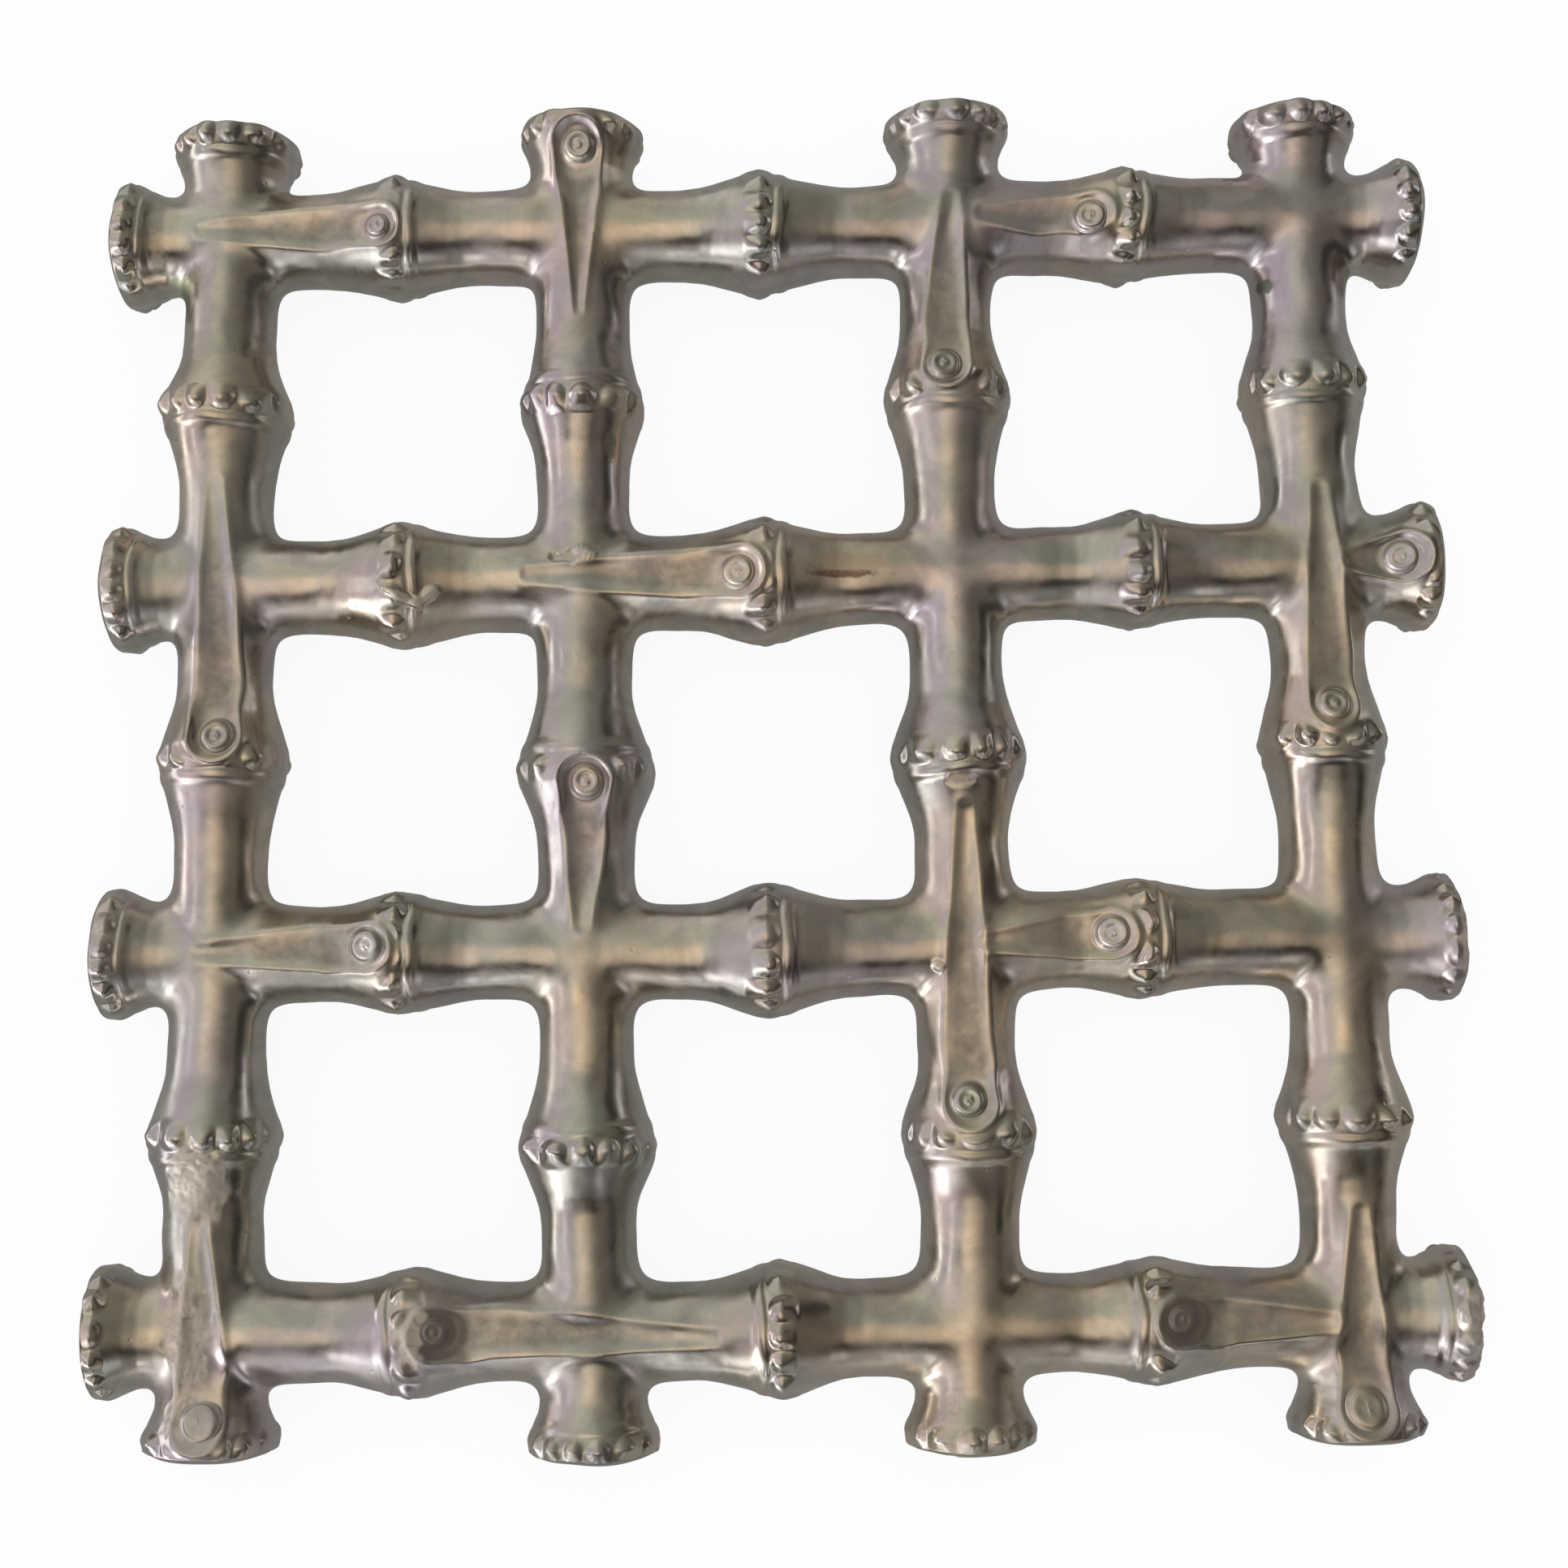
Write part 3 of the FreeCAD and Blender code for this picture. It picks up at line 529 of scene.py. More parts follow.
def nodeStretch(stem, w):
    # a stretch between two crossings with its node, as places, radii, outward slopes and masks
    angles = np.broadcast_to(columnAngles[None, :], w.shape)
    radius = plainRadius(stem, w)
    bump, hollow = np.zeros(w.shape), np.zeros(w.shape)
    for crest, draw in zip(stem["crests"], stem["crestBeads"]):
        place = w - crest
        if not (np.abs(place) < nodes["reach"]).any():
            continue
        close = np.abs(place) < nodes["detailReach"]
        height, gap = beadsAround(angles, nodes["beadFront"] - place, nodes, draw)
        keep = eyeKeep(stem, w, angles, radius)
        marks, notch = ringMarks(place, angles, nodes, draw)
        swell = draw["swell"] * np.exp(-(place / nodes["swellReach"]) ** 2)
        bump = bump + np.where(close, (height * keep + marks) * columnRelief, 0.0) + swell
        # painted shade in the gaps between the beads, and darker in the notch
        grimeAndShade = np.maximum(nodes["gapShade"] * gap * keep, nodes["notchDarkening"] * notch) * columnRelief
        hollow = np.where(close, np.maximum(hollow, grimeAndShade), hollow)
    return w, radius, np.zeros(w.shape), np.ones(w.shape), bump, hollow


def alongStem(stem, lengthways, sideways, up):
    # points from a stem's own measures, lengthways in the part's frame
    columns = (lengthways, sideways, up) if stem["axis"] == 0 else (sideways, lengthways, up)
    return np.stack(np.broadcast_arrays(*columns), -1)


def ringFaces(index):
    # quads between rings of points
    following = np.roll(index, -1, axis=1)
    return np.stack([index[:-1], following[:-1], following[1:], index[1:]], -1).reshape(-1, 4)


def fanFaces(ring, middle):
    # triangles from a ring to its middle, with the last corner twice
    middle = np.full(len(ring), middle)
    return np.stack([ring, np.roll(ring, -1), middle, middle], -1)


def stemPoints(stem):
    # all stretches of a stem as points, faces and grime masks
    points, faces, hollows = [], [], []
    offset = 0
    for places, side in stretches(stem):
        measures = endStretch(stem, places, side) if side else nodeStretch(stem, places)
        rows = len(measures[0])
        w, radius, outW, outR, bump, hollow = (values.ravel() for values in measures)
        angles = np.tile(columnAngles, rows)
        cosine, sine = np.cos(angles), np.sin(angles)
        base = alongStem(stem, w * stem["heading"], stem["line"] + radius * cosine, radius * sine)
        lengthways = base[:, stem["axis"]]
        for other in stems:
            # a stretch is no nearer to another crossing than the reach of the blend
            here = np.abs(lengthways - other["line"]) < trivet["blendReach"]
            if other["axis"] != stem["axis"] and here.any():
                pair = (stem, other) if stem["axis"] == 0 else (other, stem)
                base[here] = settle(base[here], *pair)
        out = alongStem(stem, outW * stem["heading"], outR * cosine, outR * sine)
        points.append(base + out * bump[:, None])
        hollows.append(hollow)
        index = np.arange(w.size).reshape(rows, columnCount) + offset
        turned = stem["heading"] * (side if side else 1) * (1 if stem["axis"] == 0 else -1) < 0
        faces.append(ringFaces(index)[:, ::-1 if turned else 1])
        offset += w.size
        if side:
            tip = side * trivet["tip"] * stem["heading"]
            points.append(alongStem(stem, tip, stem["line"], 0.0)[None, :])
            hollows.append(np.zeros(1))
            faces.append(fanFaces(index[-1], offset)[:, [1, 0, 2, 3] if turned else slice(None)])
            offset += 1
    return np.concatenate(points), np.concatenate(faces), np.concatenate(hollows)


print("shaping the stems")
shells = [stemPoints(stem) for stem in stems]
starts = np.cumsum([0] + [len(points) for points, _, _ in shells])
allPoints = np.concatenate([points for points, _, _ in shells])
allPoints[:, 2] += trivet["axisHeight"]
allFaces = np.concatenate([faces + start for (_, faces, _), start in zip(shells, starts)])
allHollow = np.concatenate([hollow for _, _, hollow in shells])
# points that two stems share on a mitre count as one when normals are worked out
keys = np.round(allPoints / grid["merge"]).astype(np.int64) @ np.array([4 * 10 ** 12, 2 * 10 ** 6, 1])
_, first, shared = np.unique(keys, return_index=True, return_inverse=True)
shared = shared.ravel()


def sharedNormals(points):
    # vertex normals that agree across the mitres between stems
    corners = points[allFaces]
    normal = np.cross(corners[:, 2] - corners[:, 0], corners[:, 3] - corners[:, 1])
    fan = allFaces[:, 2] == allFaces[:, 3]
    normal[fan] = np.cross(corners[fan, 1] - corners[fan, 0], corners[fan, 2] - corners[fan, 0])
    total = np.zeros((len(first), 3))
    for corner in range(4):
        for axis in range(3):
            total[:, axis] += np.bincount(shared[allFaces[:, corner]], normal[:, axis], len(first))
    total /= np.maximum(np.linalg.norm(total, axis=1), 1e-12)[:, None]
    return total[shared]


allPoints = allPoints[first][shared]
allPoints = allPoints + sharedNormals(allPoints) * unevenness(allPoints)[:, None]
allHollow = np.maximum(allHollow, carve(allPoints))
faultMove, allDull = addFaults(allPoints)
allPoints = allPoints + sharedNormals(allPoints) * faultMove[:, None]
heights = -softMin(-allPoints[:, 2], np.zeros(len(allPoints)), trivet["restSoftness"])
heights = np.maximum(heights, 0.0)
allPoints[:, 2] = softMin(heights, np.full(len(allPoints), trivet["top"]), trivet["topSoftness"])
allPoints[:, :2] += stray(allPoints)
normals = sharedNormals(allPoints)
print("stem points", len(allPoints), "faces", len(allFaces))


def addObject(name, data):
    piece = bpy.data.objects.new(name, data)
    bpy.context.collection.objects.link(piece)
    return piece


def skinObject(name, points, faces, normal, masks):
    # a smooth mesh whose rows with a repeated last corner are triangles
    mesh = bpy.data.meshes.new(name)
    triangles = faces[:, 2] == faces[:, 3]
    quads, fans = faces[~triangles], faces[triangles][:, :3]
    loops = np.concatenate([quads.ravel(), fans.ravel()]).astype(np.int32)
    loopStarts = np.concatenate([np.arange(len(quads)) * 4,
                                 len(quads) * 4 + np.arange(len(fans)) * 3]).astype(np.int32)
    mesh.vertices.add(len(points))
    mesh.vertices.foreach_set("co", (points * mm).astype(np.float32).ravel())
    mesh.loops.add(len(loops))
    mesh.loops.foreach_set("vertex_index", loops)
    mesh.polygons.add(len(loopStarts))
    mesh.polygons.foreach_set("loop_start", loopStarts)
    mesh.update(calc_edges=True)
    mesh.validate()
    mesh.polygons.foreach_set("use_smooth", np.ones(len(mesh.polygons), bool))
    for maskName, values in masks.items():
        layer = mesh.attributes.new(maskName, "FLOAT", "POINT")
        layer.data.foreach_set("value", values.astype(np.float32))
    if normal is not None:
        mesh.normals_split_custom_set_from_vertices(normal.astype(np.float32))
    return addObject(name, mesh)


skins = []
for stem, start, stop in zip(stems, starts[:-1], starts[1:]):
    faces = allFaces[(allFaces[:, 0] >= start) & (allFaces[:, 0] < stop)] - start
    skin = skinObject(stem["name"] + "Skin", allPoints[start:stop], faces, normals[start:stop],
                      {"hollow": allHollow[start:stop], "dull": allDull[start:stop]})
    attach(skin, "root")
    solids = [stem["solid"]]
    if stem["axis"] == 0:
        solids += ["solder_joint_%s_%d" % (stem["solid"][-1], column) for column in range(1, 5)]
    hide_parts(*solids)
    skins.append(skin)
    print(skin.name, len(skin.data.polygons), "faces")


# materials
def emptyTree(owner):
    # the node tree of a material or world, with nothing in it
    owner.use_nodes = True
    owner.node_tree.nodes.clear()
    return owner.node_tree


def feed(tree, socket, value):
    # a number, colour or vector is set, an output is linked
    if isinstance(value, bpy.types.NodeSocket):
        tree.links.new(value, socket)
    elif isinstance(value, tuple) and len(socket.default_value) == 4:
        socket.default_value = (*value, 1)
    else:
        socket.default_value = value


def addNode(tree, kind, inputs=(), **settings):
    # a node with its settings, and its inputs by name or number
    node = tree.nodes.new("ShaderNode" + kind)
    for key, value in settings.items():
        setattr(node, key, value)
    for key, value in dict(inputs).items():
        feed(tree, node.inputs[key], value)
    return node


def mathNode(tree, operation, *values, clamp=False):
    node = addNode(tree, "Math", enumerate(values), operation=operation, use_clamp=clamp)
    return node.outputs[0]


def times(tree, first, second):
    return mathNode(tree, "MULTIPLY", first, second)


def timesPlus(tree, value, factor, added):
    return mathNode(tree, "MULTIPLY_ADD", value, factor, added)


def vectorNode(tree, operation, inputs):
    return addNode(tree, "VectorMath", inputs, operation=operation).outputs


def mixColors(tree, factor, under, over):
    inputs = {"Factor": factor, 6: under, 7: over}
    return addNode(tree, "Mix", inputs, data_type="RGBA").outputs[2]


def mapRange(tree, value, low, high, first=0.0, second=1.0):
    inputs = {"Value": value, "From Min": low, "From Max": high, "To Min": first, "To Max": second}
    return addNode(tree, "MapRange", inputs, interpolation_type="SMOOTHSTEP").outputs["Result"]


def noiseNode(tree, vector, scale, detail=3.0, roughness=0.55, distortion=0.0):
    inputs = {"Vector": vector, "Scale": scale, "Detail": detail, "Roughness": roughness,
              "Distortion": distortion}
    return addNode(tree, "TexNoise", inputs).outputs["Fac"]


def newGroup(name, inputs, outputs):
    # a node group that starts from a place: names, kinds and values of its other inputs
    group = bpy.data.node_groups.new(name, "ShaderNodeTree")
    for socketName, kind, value in (("Vector", "Vector", None), *inputs):
        socket = group.interface.new_socket(socketName, in_out="INPUT", socket_type="NodeSocket" + kind)
        if value is not None:
            socket.default_value = value
    for socketName, kind in outputs:
        group.interface.new_socket(socketName, in_out="OUTPUT", socket_type="NodeSocket" + kind)
    inside = group.nodes.new("NodeGroupInput").outputs
    return group, inside["Vector"], inside, group.nodes.new("NodeGroupOutput").inputs


def placeGroup(tree, group, **inputs):
    return addNode(tree, "Group", inputs, node_tree=group).outputs


# tarnish: cool olive, warm gold and plum areas that run into each other
tree, here, inside, outside = newGroup(
    "tarnish",
    (("Scale", "Float", 30.0), ("Olive", "Color", None),
     ("Gold", "Color", None), ("Plum", "Color", None)),
    (("Color", "Color"),))
tarnishGroup = tree
wide = noiseNode(tree, here, inside["Scale"], 4.0, 0.6, 0.4)
fine = noiseNode(tree, here, times(tree, inside["Scale"], 4.3), 5.0, 0.65, 0.8)
shifted = vectorNode(tree, "ADD", {0: here, 1: (0.31, -0.17, 0.23)})["Vector"]
other = noiseNode(tree, shifted, inside["Scale"], 3.0, 0.6, 0.6)
both = mathNode(tree, "ADD", times(tree, wide, 0.72), times(tree, fine, 0.28))
toned = mixColors(tree, mapRange(tree, both, 0.44, 0.60), inside["Olive"], inside["Gold"])
toned = mixColors(tree, mapRange(tree, other, 0.50, 0.66, 0.0, 0.8), toned, inside["Plum"])
shade = mapRange(tree, fine, 0.30, 0.72, 0.86, 1.10)
feed(tree, outside["Color"], vectorNode(tree, "SCALE", {0: toned, "Scale": shade})["Vector"])

# grime and shade: a dark colour laid into gaps, notches, grooves and eyes with a ragged border, painted
# shade in the gaps and grooves and real dirt in the grimy eyes
tree, here, inside, outside = newGroup(
    "grimeAndShade",
    (("Hollow", "Float", 0.0), ("Amount", "Float", 1.0), ("Scale", "Float", 480.0)),
    (("Mask", "Float"),))
grimeAndShadeGroup = tree
ragged = noiseNode(tree, here, inside["Scale"], 3.0, 0.55, 0.5)
level = mathNode(tree, "ADD", inside["Hollow"], timesPlus(tree, ragged, 0.4, -0.2))
mask = mathNode(tree, "MULTIPLY", mapRange(tree, level, 0.35, 0.95), inside["Amount"], clamp=True)
feed(tree, outside["Mask"], mask)

# polish: how the handling of years has left the surface, as roughness and as a fine relief
tree, here, inside, outside = newGroup(
    "polish",
    (("Smooth", "Float", 0.14), ("Matt", "Float", 0.34), ("Scale", "Float", 90.0)),
    (("Roughness", "Float"), ("Height", "Float")))
polishGroup = tree
smears = noiseNode(tree, here, inside["Scale"], 3.0, 0.55, 1.2)
grain = noiseNode(tree, here, times(tree, inside["Scale"], 17.0), 3.0, 0.6)
pits = addNode(tree, "TexVoronoi", {"Vector": here, "Scale": times(tree, inside["Scale"], 5.5)},
               feature="F1")
rare = mapRange(tree, noiseNode(tree, here, times(tree, inside["Scale"], 1.7)), 0.56, 0.66)
pitMask = times(tree, mapRange(tree, pits.outputs["Distance"], 0.05, 0.16, 1.0, 0.0), rare)
spread = mathNode(tree, "SUBTRACT", inside["Matt"], inside["Smooth"])
smeared = timesPlus(tree, mapRange(tree, smears, 0.34, 0.68), spread, inside["Smooth"])
feed(tree, outside["Roughness"], mathNode(tree, "ADD", smeared, timesPlus(tree, grain, 0.08, -0.04)))
relief = mathNode(tree, "ADD", times(tree, grain, 0.04), times(tree, smears, 0.7))
feed(tree, outside["Height"], mathNode(tree, "SUBTRACT", relief, times(tree, pitMask, 0.6)))

# stain: one ragged spot at a place of its own
tree, here, inside, outside = newGroup(
    "stain", (("Place", "Vector", None), ("Size", "Vector", None)), (("Mask", "Float"),))
stainGroup = tree
away = vectorNode(tree, "SUBTRACT", {0: here, 1: inside["Place"]})["Vector"]
away = vectorNode(tree, "DIVIDE", {0: away, 1: inside["Size"]})["Vector"]
ragged = noiseNode(tree, here, 620.0, 4.0, 0.7)
reach = mathNode(tree, "ADD", vectorNode(tree, "LENGTH", {0: away})["Value"],
                 timesPlus(tree, ragged, 1.8, -0.9))
feed(tree, outside["Mask"], mapRange(tree, reach, 0.55, 1.0, 1.0, 0.0))

silver = {
    "olive": (0.536, 0.513, 0.453), "gold": (0.639, 0.553, 0.446), "plum": (0.558, 0.495, 0.500),
    # the dark colour is painted shade in the hollows, and real dirt in the grimy eyes and in the cracks of
    # the crust
    "grimeAndShade": (0.135, 0.112, 0.086), "crust": (0.66, 0.58, 0.47),
    "tarnishScale": 34.0, "smooth": 0.2, "matt": 0.36, "polishScale": 80.0, "bump": 0.00006,
    "grimeAndShadeAmount": 0.85, "grimeAndShadeRoughness": 0.22, "grimeAndShadeMetal": -0.25, "stainRoughness": 0.2,
    "dullTint": 0.6, "dullRoughness": 0.24, "dullMetal": -0.15,
    # place and half sizes in millimetres, colour
    "stains": {
        "greenCrust": ((-81.0, 67.6, 12.5), (2.6, 2.2, 3.0), (0.360, 0.387, 0.279)),
        "greenCrustLow": ((-78.6, 69.4, 11.0), (1.7, 1.7, 3.0), (0.378, 0.378, 0.270)),
        "darkSpot": ((69.3, 64.8, 12.0), (1.5, 1.5, 3.0), (0.180, 0.198, 0.153)),
        "brownSpot": ((24.6, -3.6, 16.0), (1.8, 1.2, 3.0), (0.306, 0.216, 0.153)),
        "goldRub": ((-84.0, 73.0, 13.0), (3.4, 3.0, 3.0), (0.756, 0.648, 0.486)),
        "edgeStain": ((-21.5, 43.5, 13.0), (1.1, 2.4, 3.0), (0.396, 0.378, 0.297)),
        "brownStreak": ((9.8, 24.6, 15.0), (6.5, 0.75, 3.0), (0.270, 0.180, 0.135)),
        "streakGlow": ((10.5, 26.2, 15.0), (7.5, 1.6, 3.0), (0.612, 0.486, 0.360)),
    },
}


def silverMaterial(name, finish, masks=True):
    material = bpy.data.materials.new(name)
    tree = emptyTree(material)
    place = addNode(tree, "TexCoord").outputs["Object"]
    color = placeGroup(tree, tarnishGroup, Vector=place, Scale=finish["tarnishScale"],
                       Olive=finish["olive"], Gold=finish["gold"], Plum=finish["plum"])["Color"]
    polish = placeGroup(tree, polishGroup, Vector=place, Smooth=finish["smooth"], Matt=finish["matt"],
                        Scale=finish["polishScale"])
    roughness = polish["Roughness"]
    for spot, size, stainColor in finish["stains"].values():
        stain = placeGroup(tree, stainGroup, Vector=place, Place=tuple(value * mm for value in spot),
                           Size=tuple(value * mm for value in size))["Mask"]
        color = mixColors(tree, stain, color, stainColor)
        roughness = timesPlus(tree, stain, finish["stainRoughness"], roughness)
    # the hollow mask paints shade into bead gaps and grooves, darkens notches and moats, and lays real
    # dirt in the grimy eyes
    hollow = addNode(tree, "Attribute", attribute_name="hollow").outputs["Fac"]
    grimeAndShade = placeGroup(tree, grimeAndShadeGroup, Vector=place, Hollow=hollow, Amount=finish["grimeAndShadeAmount"])["Mask"]
    color = mixColors(tree, grimeAndShade, color, finish["grimeAndShade"])
    roughness = timesPlus(tree, grimeAndShade, finish["grimeAndShadeRoughness"], roughness)
    metallic = timesPlus(tree, grimeAndShade, finish["grimeAndShadeMetal"], 1.0)
    if masks:
        dull = addNode(tree, "Attribute", attribute_name="dull").outputs["Fac"]
        cracks = mapRange(tree, noiseNode(tree, place, 700.0, 4.0, 0.65, 1.0), 0.50, 0.70, 0.0, 0.5)
        crusted = mixColors(tree, cracks, finish["crust"], finish["grimeAndShade"])
        color = mixColors(tree, times(tree, dull, finish["dullTint"]), color, crusted)
        metallic = timesPlus(tree, dull, finish["dullMetal"], metallic)
        roughness = timesPlus(tree, dull, finish["dullRoughness"], roughness)
    bump = addNode(tree, "Bump", {"Strength": 1.0, "Distance": finish["bump"],
                                            "Height": polish["Height"]})
    shader = addNode(tree, "BsdfPrincipled",
                     {"Base Color": color, "Roughness": roughness, "Metallic": metallic,
                      "Normal": bump.outputs["Normal"]})
    addNode(tree, "OutputMaterial", {0: shader.outputs[0]})
    return material


agedSilver = silverMaterial("agedSilver", silver)
for skin in skins:
    skin.data.materials.append(agedSilver)


# bud pins: one soft turned button for each eye, a little different every time
budPin = {
    # radius and height above the seat, from the middle out
    "outline": ((0.0, 0.74), (0.35, 0.73), (0.65, 0.64), (0.9, 0.62), (1.25, 0.72), (1.5, 0.76),
                (1.75, 0.71), (2.0, 0.55), (2.2, 0.32), (2.4, 0.12), (2.6, 0.0), (2.75, -0.3)),
    "soften": 0.3, "columns": 56, "rings": 56, "lean": 3.0, "unevenness": 0.04, "outOfRound": 0.012,
    "head": 0.3,  # what stands higher belongs to the head
    "width": 0.93, "smallWidth": 0.76, "flatWidth": 1.1,
    "flatTop": 0.5, "flatHeight": 0.6, "flatReach": 1.6, "grimyHeight": 0.7,
    # length along the outline, painted shade in the dip of the head and at the foot
    "grimeAndShade": ((0.5, 0.8, 1.0, 1.3, 2.0, 2.6), (0.0, 0.3, 0.3, 0.0, 0.0, 0.5)), "extraGrime": 0.85,
}
pinFinish = {**silver, "stains": {}, "tarnishScale": 60.0, "smooth": 0.27, "matt": 0.42,
             "grimeAndShadeAmount": 0.8}
pinSilver = silverMaterial("agedPinSilver", pinFinish, masks=False)
pinRadii, pinHeights = np.array(budPin["outline"]).T
pinRun = np.concatenate([[0.0], np.cumsum(np.hypot(np.diff(pinRadii), np.diff(pinHeights)))])
runTable, radiusTable = smoothTable(list(zip(pinRun, pinRadii)), budPin["soften"])
_, heightTable = smoothTable(list(zip(pinRun, pinHeights)), budPin["soften"])
run = np.linspace(0.02, pinRun[-1], budPin["rings"])[:, None]
angle = np.linspace(0, 2 * math.pi, budPin["columns"], endpoint=False)[None, :]
pins = []
for number, bud in enumerate(allBuds):
    stem, which = stems[number // 2], number % 2 + 1
    draw = np.random.default_rng(1000 + number)
    radius = budPin["width"] * np.interp(run, runTable, radiusTable)
    profile = np.interp(run, runTable, heightTable)
    if bud["look"] == "flat":
        profile = np.minimum(profile * budPin["flatHeight"], budPin["flatTop"])
        flattened = 0.3 * profile + 0.7 * budPin["flatTop"] * 0.9
        profile = np.where(run < budPin["flatReach"], flattened, profile)
        radius = radius * budPin["flatWidth"]
    if bud["look"] == "grimy":
        profile = profile * budPin["grimyHeight"]
    if bud["look"] in ("small", "grimy"):
        radius = radius * budPin["smallWidth"]
    wobble = sum(np.sin(count * angle + draw.uniform(0, 7)) / count for count in (1, 2, 3, 5))
    height = profile + budPin["unevenness"] * wobble * (profile > budPin["head"])
    radius = radius * (1 + budPin["outOfRound"] * wobble)
    leanX, leanY = np.radians(draw.normal(0, budPin["lean"], 2))
    px, py = radius * np.cos(angle), radius * np.sin(angle)
    leaning = (px * leanX + py * leanY) * (height > budPin["head"])
    pz = height + leaning + bud["slope"] * (px * bud["way"][0] + py * bud["way"][1])
    points = np.concatenate([np.stack([px, py, pz], -1).reshape(-1, 3), [[0.0, 0.0, heightTable[0]]]])
    points[:, :2] += bud["eye"] + stray(bud["eye"][None, :])
    points[:, 2] += trivet["axisHeight"] + bud["seat"]
    index = np.arange(budPin["rings"] * budPin["columns"]).reshape(budPin["rings"], -1)
    faces = np.concatenate([ringFaces(index)[:, [0, 3, 2, 1]], fanFaces(index[0], index.size)])
    # painted shade on the pin, with real dirt on the grimy pins
    grimeAndShade = np.interp(run[:, 0], *budPin["grimeAndShade"]) + budPin["extraGrime"] * (bud["look"] == "grimy")
    pin = skinObject("%sBudPin%d" % (stem["name"], which), points, faces, None,
                     {"hollow": np.append(np.repeat(grimeAndShade, budPin["columns"]), 0.0)})
    pin.data.materials.append(pinSilver)
    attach(pin, "root")
    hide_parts("%s_bud_pin_%d" % (stem["solid"], which))
    pins.append(pin)
print("bud pins", len(pins))


# floor, light and camera
def between(tree, value, low, high, softness):
    # 1 where a value lies between low and high, with soft borders
    return times(tree, mapRange(tree, value, low - softness, low + softness),
                 mapRange(tree, value, high - softness, high + softness, 1.0, 0.0))


studio = {
    "floorColor": (0.95, 0.95, 0.95), "floorSize": 6.0, "floorRoughness": 0.9, "floorGlow": 0.92,
    "floorSheen": 0.88, "sheenColor": (0.24, 0.24, 0.235),
    "roomLeft": (0.86, 0.84, 0.80), "roomRight": (0.70, 0.68, 0.57), "roomTurn": 0.32,
    # azimuth from +X, elevation, half width, half height in degrees, softness, colour
    "cards": {
        "darkWall": (-90, 51, 70, 10, 4, (0.06, 0.045, 0.035)),
        "darkCorner": (-90, 26, 70, 15, 5, (0.46, 0.43, 0.45)),
        "frontLeft": (-124, 25, 9, 8, 3, (2.6, 2.65, 2.8)),
        "frontMiddle": (-97, 22, 6, 7, 3, (2.1, 2.15, 2.3)),
        "frontRight": (-66, 25, 9, 8, 3, (2.4, 2.45, 2.6)),
        "frontWindow": (-90, 3, 55, 6, 3, (1.4, 1.45, 1.5)),
        "backWall": (90, 50, 60, 24, 12, (0.72, 0.75, 0.66)),
        "leftWall": (180, 30, 46, 22, 9, (0.75, 0.67, 0.78)),
        "leftBar": (184, 38, 20, 3.0, 2, (1.7, 1.7, 1.8)),
        "leftWindow": (186, 6, 28, 6, 2, (2.6, 2.6, 2.7)),
        "cornerWindow": (-142, 16, 8, 8, 2, (6.0, 6.0, 6.2)),
        "rightWall": (0, 48, 40, 14, 8, (0.52, 0.46, 0.39)),
        "rightPost": (2, 24, 50, 10, 4, (0.10, 0.09, 0.075)),
        "rightWindow": (20, 5, 13, 4, 2, (4.2, 4.2, 4.4)),
    },
    "ceiling": {"across": 0.34, "front": -0.42, "back": 0.2, "softness": 0.2, "color": (1.44, 1.22, 0.98)},
    # how bright the room is on its left and its right
    "leftGain": 0.86, "rightGain": 0.29,
}
white = (1.0, 1.0, 1.0)
floorMesh = bpy.data.meshes.new("floor")
half = studio["floorSize"] / 2
floorMesh.from_pydata([(-half, -half, 0), (half, -half, 0), (half, half, 0), (-half, half, 0)], [],
                      [(0, 1, 2, 3)])
floor = addObject("floor", floorMesh)
floorMaterial = bpy.data.materials.new("paleFloor")
tree = emptyTree(floorMaterial)
shader = addNode(tree, "BsdfPrincipled",
                 {"Base Color": studio["floorColor"], "Roughness": studio["floorRoughness"]})
rays = addNode(tree, "LightPath").outputs
glow = addNode(tree, "Emission",
               {"Color": mixColors(tree, rays["Is Glossy Ray"], white, studio["sheenColor"])})
share = mathNode(tree, "MAXIMUM", times(tree, rays["Is Camera Ray"], studio["floorGlow"]),
                 times(tree, rays["Is Glossy Ray"], studio["floorSheen"]))
blend = addNode(tree, "MixShader", {0: share, 1: shader.outputs[0], 2: glow.outputs[0]})
addNode(tree, "OutputMaterial", {0: blend.outputs[0]})
floorMesh.materials.append(floorMaterial)

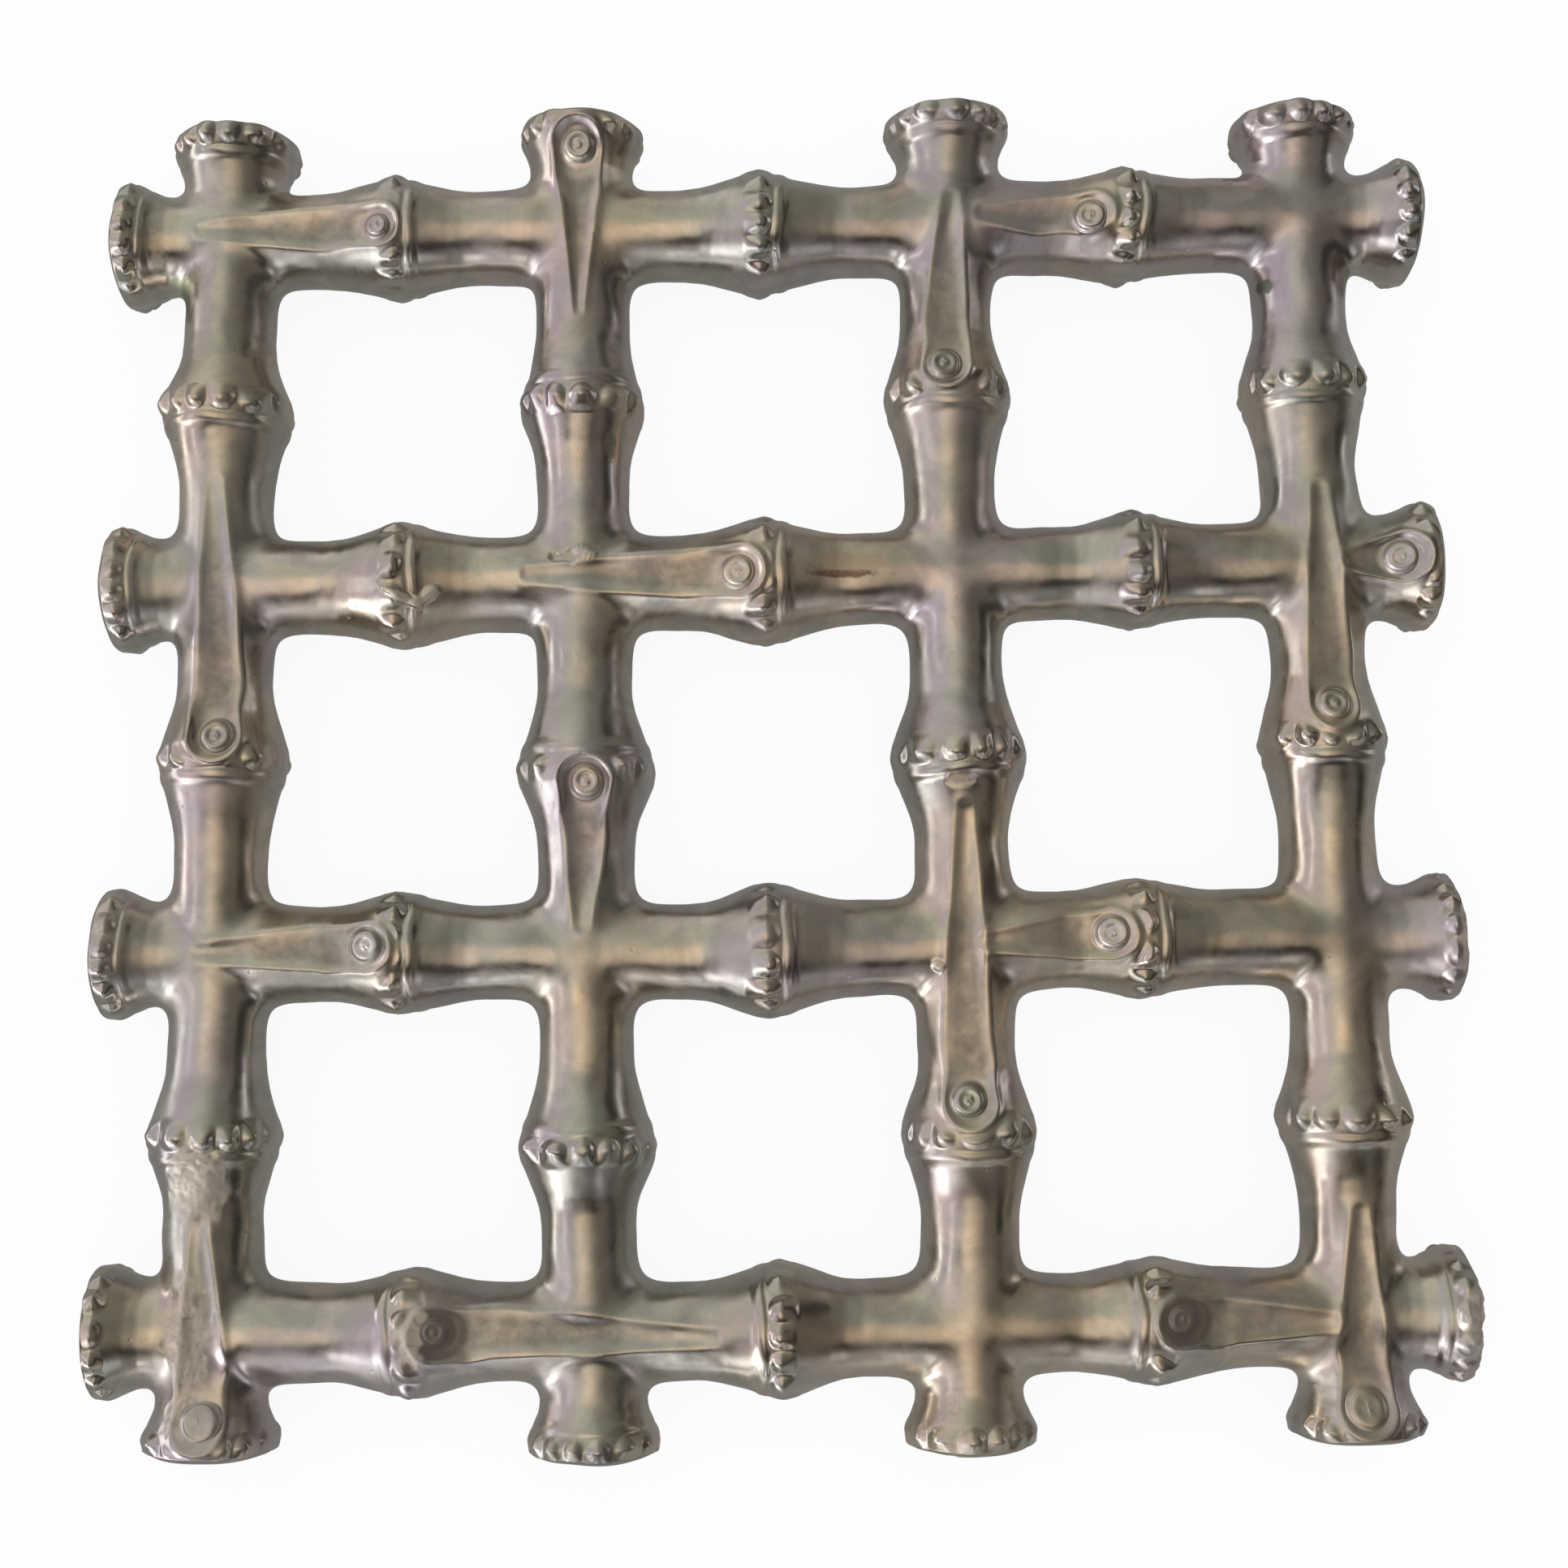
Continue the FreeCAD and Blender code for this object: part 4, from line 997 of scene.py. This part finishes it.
world = bpy.data.worlds.new("studio")
bpy.context.scene.world = world
tree = emptyTree(world)
direction = addNode(tree, "TexCoord").outputs["Generated"]
x, y, z = addNode(tree, "SeparateXYZ", {0: direction}).outputs
elevation = times(tree, mathNode(tree, "ARCSINE", z), 180 / math.pi)
roomColor = mixColors(tree, mapRange(tree, x, -studio["roomTurn"], studio["roomTurn"]),
                      studio["roomLeft"], studio["roomRight"])
for azimuth, height, halfWidth, halfHeight, softness, color in studio["cards"].values():
    # azimuth is measured from the card's own middle, so that no card lies across the seam
    cosine, sine = math.cos(math.radians(azimuth)), math.sin(math.radians(azimuth))
    forward = mathNode(tree, "ADD", times(tree, x, cosine), times(tree, y, sine))
    sideways = mathNode(tree, "SUBTRACT", times(tree, y, cosine), times(tree, x, sine))
    bearing = times(tree, mathNode(tree, "ARCTAN2", sideways, forward), 180 / math.pi)
    mark = times(tree, between(tree, bearing, -halfWidth, halfWidth, softness * 1.5),
                 between(tree, elevation, height - halfHeight, height + halfHeight, softness))
    roomColor = mixColors(tree, mark, roomColor, color)
card = studio["ceiling"]
overhead = mathNode(tree, "MAXIMUM", z, 0.05)
overX, overY = mathNode(tree, "DIVIDE", x, overhead), mathNode(tree, "DIVIDE", y, overhead)
mark = times(tree, between(tree, overX, -card["across"], card["across"], card["softness"]),
             between(tree, overY, card["front"], card["back"], card["softness"]))
roomColor = mixColors(tree, mark, roomColor, card["color"])
gain = mapRange(tree, x, -studio["roomTurn"], studio["roomTurn"], studio["leftGain"], studio["rightGain"])
roomColor = vectorNode(tree, "SCALE", {0: roomColor, "Scale": gain})["Vector"]
plain = mathNode(tree, "SUBTRACT", 1.0, addNode(tree, "LightPath").outputs["Is Glossy Ray"])
background = addNode(tree, "Background", {"Color": mixColors(tree, plain, roomColor, white)})
addNode(tree, "OutputWorld", {0: background.outputs[0]})

# place in millimetres, turn in degrees, focal length in millimetres
cameraSetup = {"place": (2.19, -34.81, 267.44), "turn": (6.991, 0.288, -1.049), "lens": 44.02}
cameraData = bpy.data.cameras.new("camera")
cameraData.lens = cameraSetup["lens"]
cameraData.sensor_width = 36.0
cameraData.clip_start = 0.01
camera = addObject("camera", cameraData)
camera.location = Vector(cameraSetup["place"]) * mm
camera.rotation_euler = Euler([math.radians(angle) for angle in cameraSetup["turn"]])
bpy.context.scene.camera = camera
bpy.context.scene.view_settings.view_transform = "Standard"
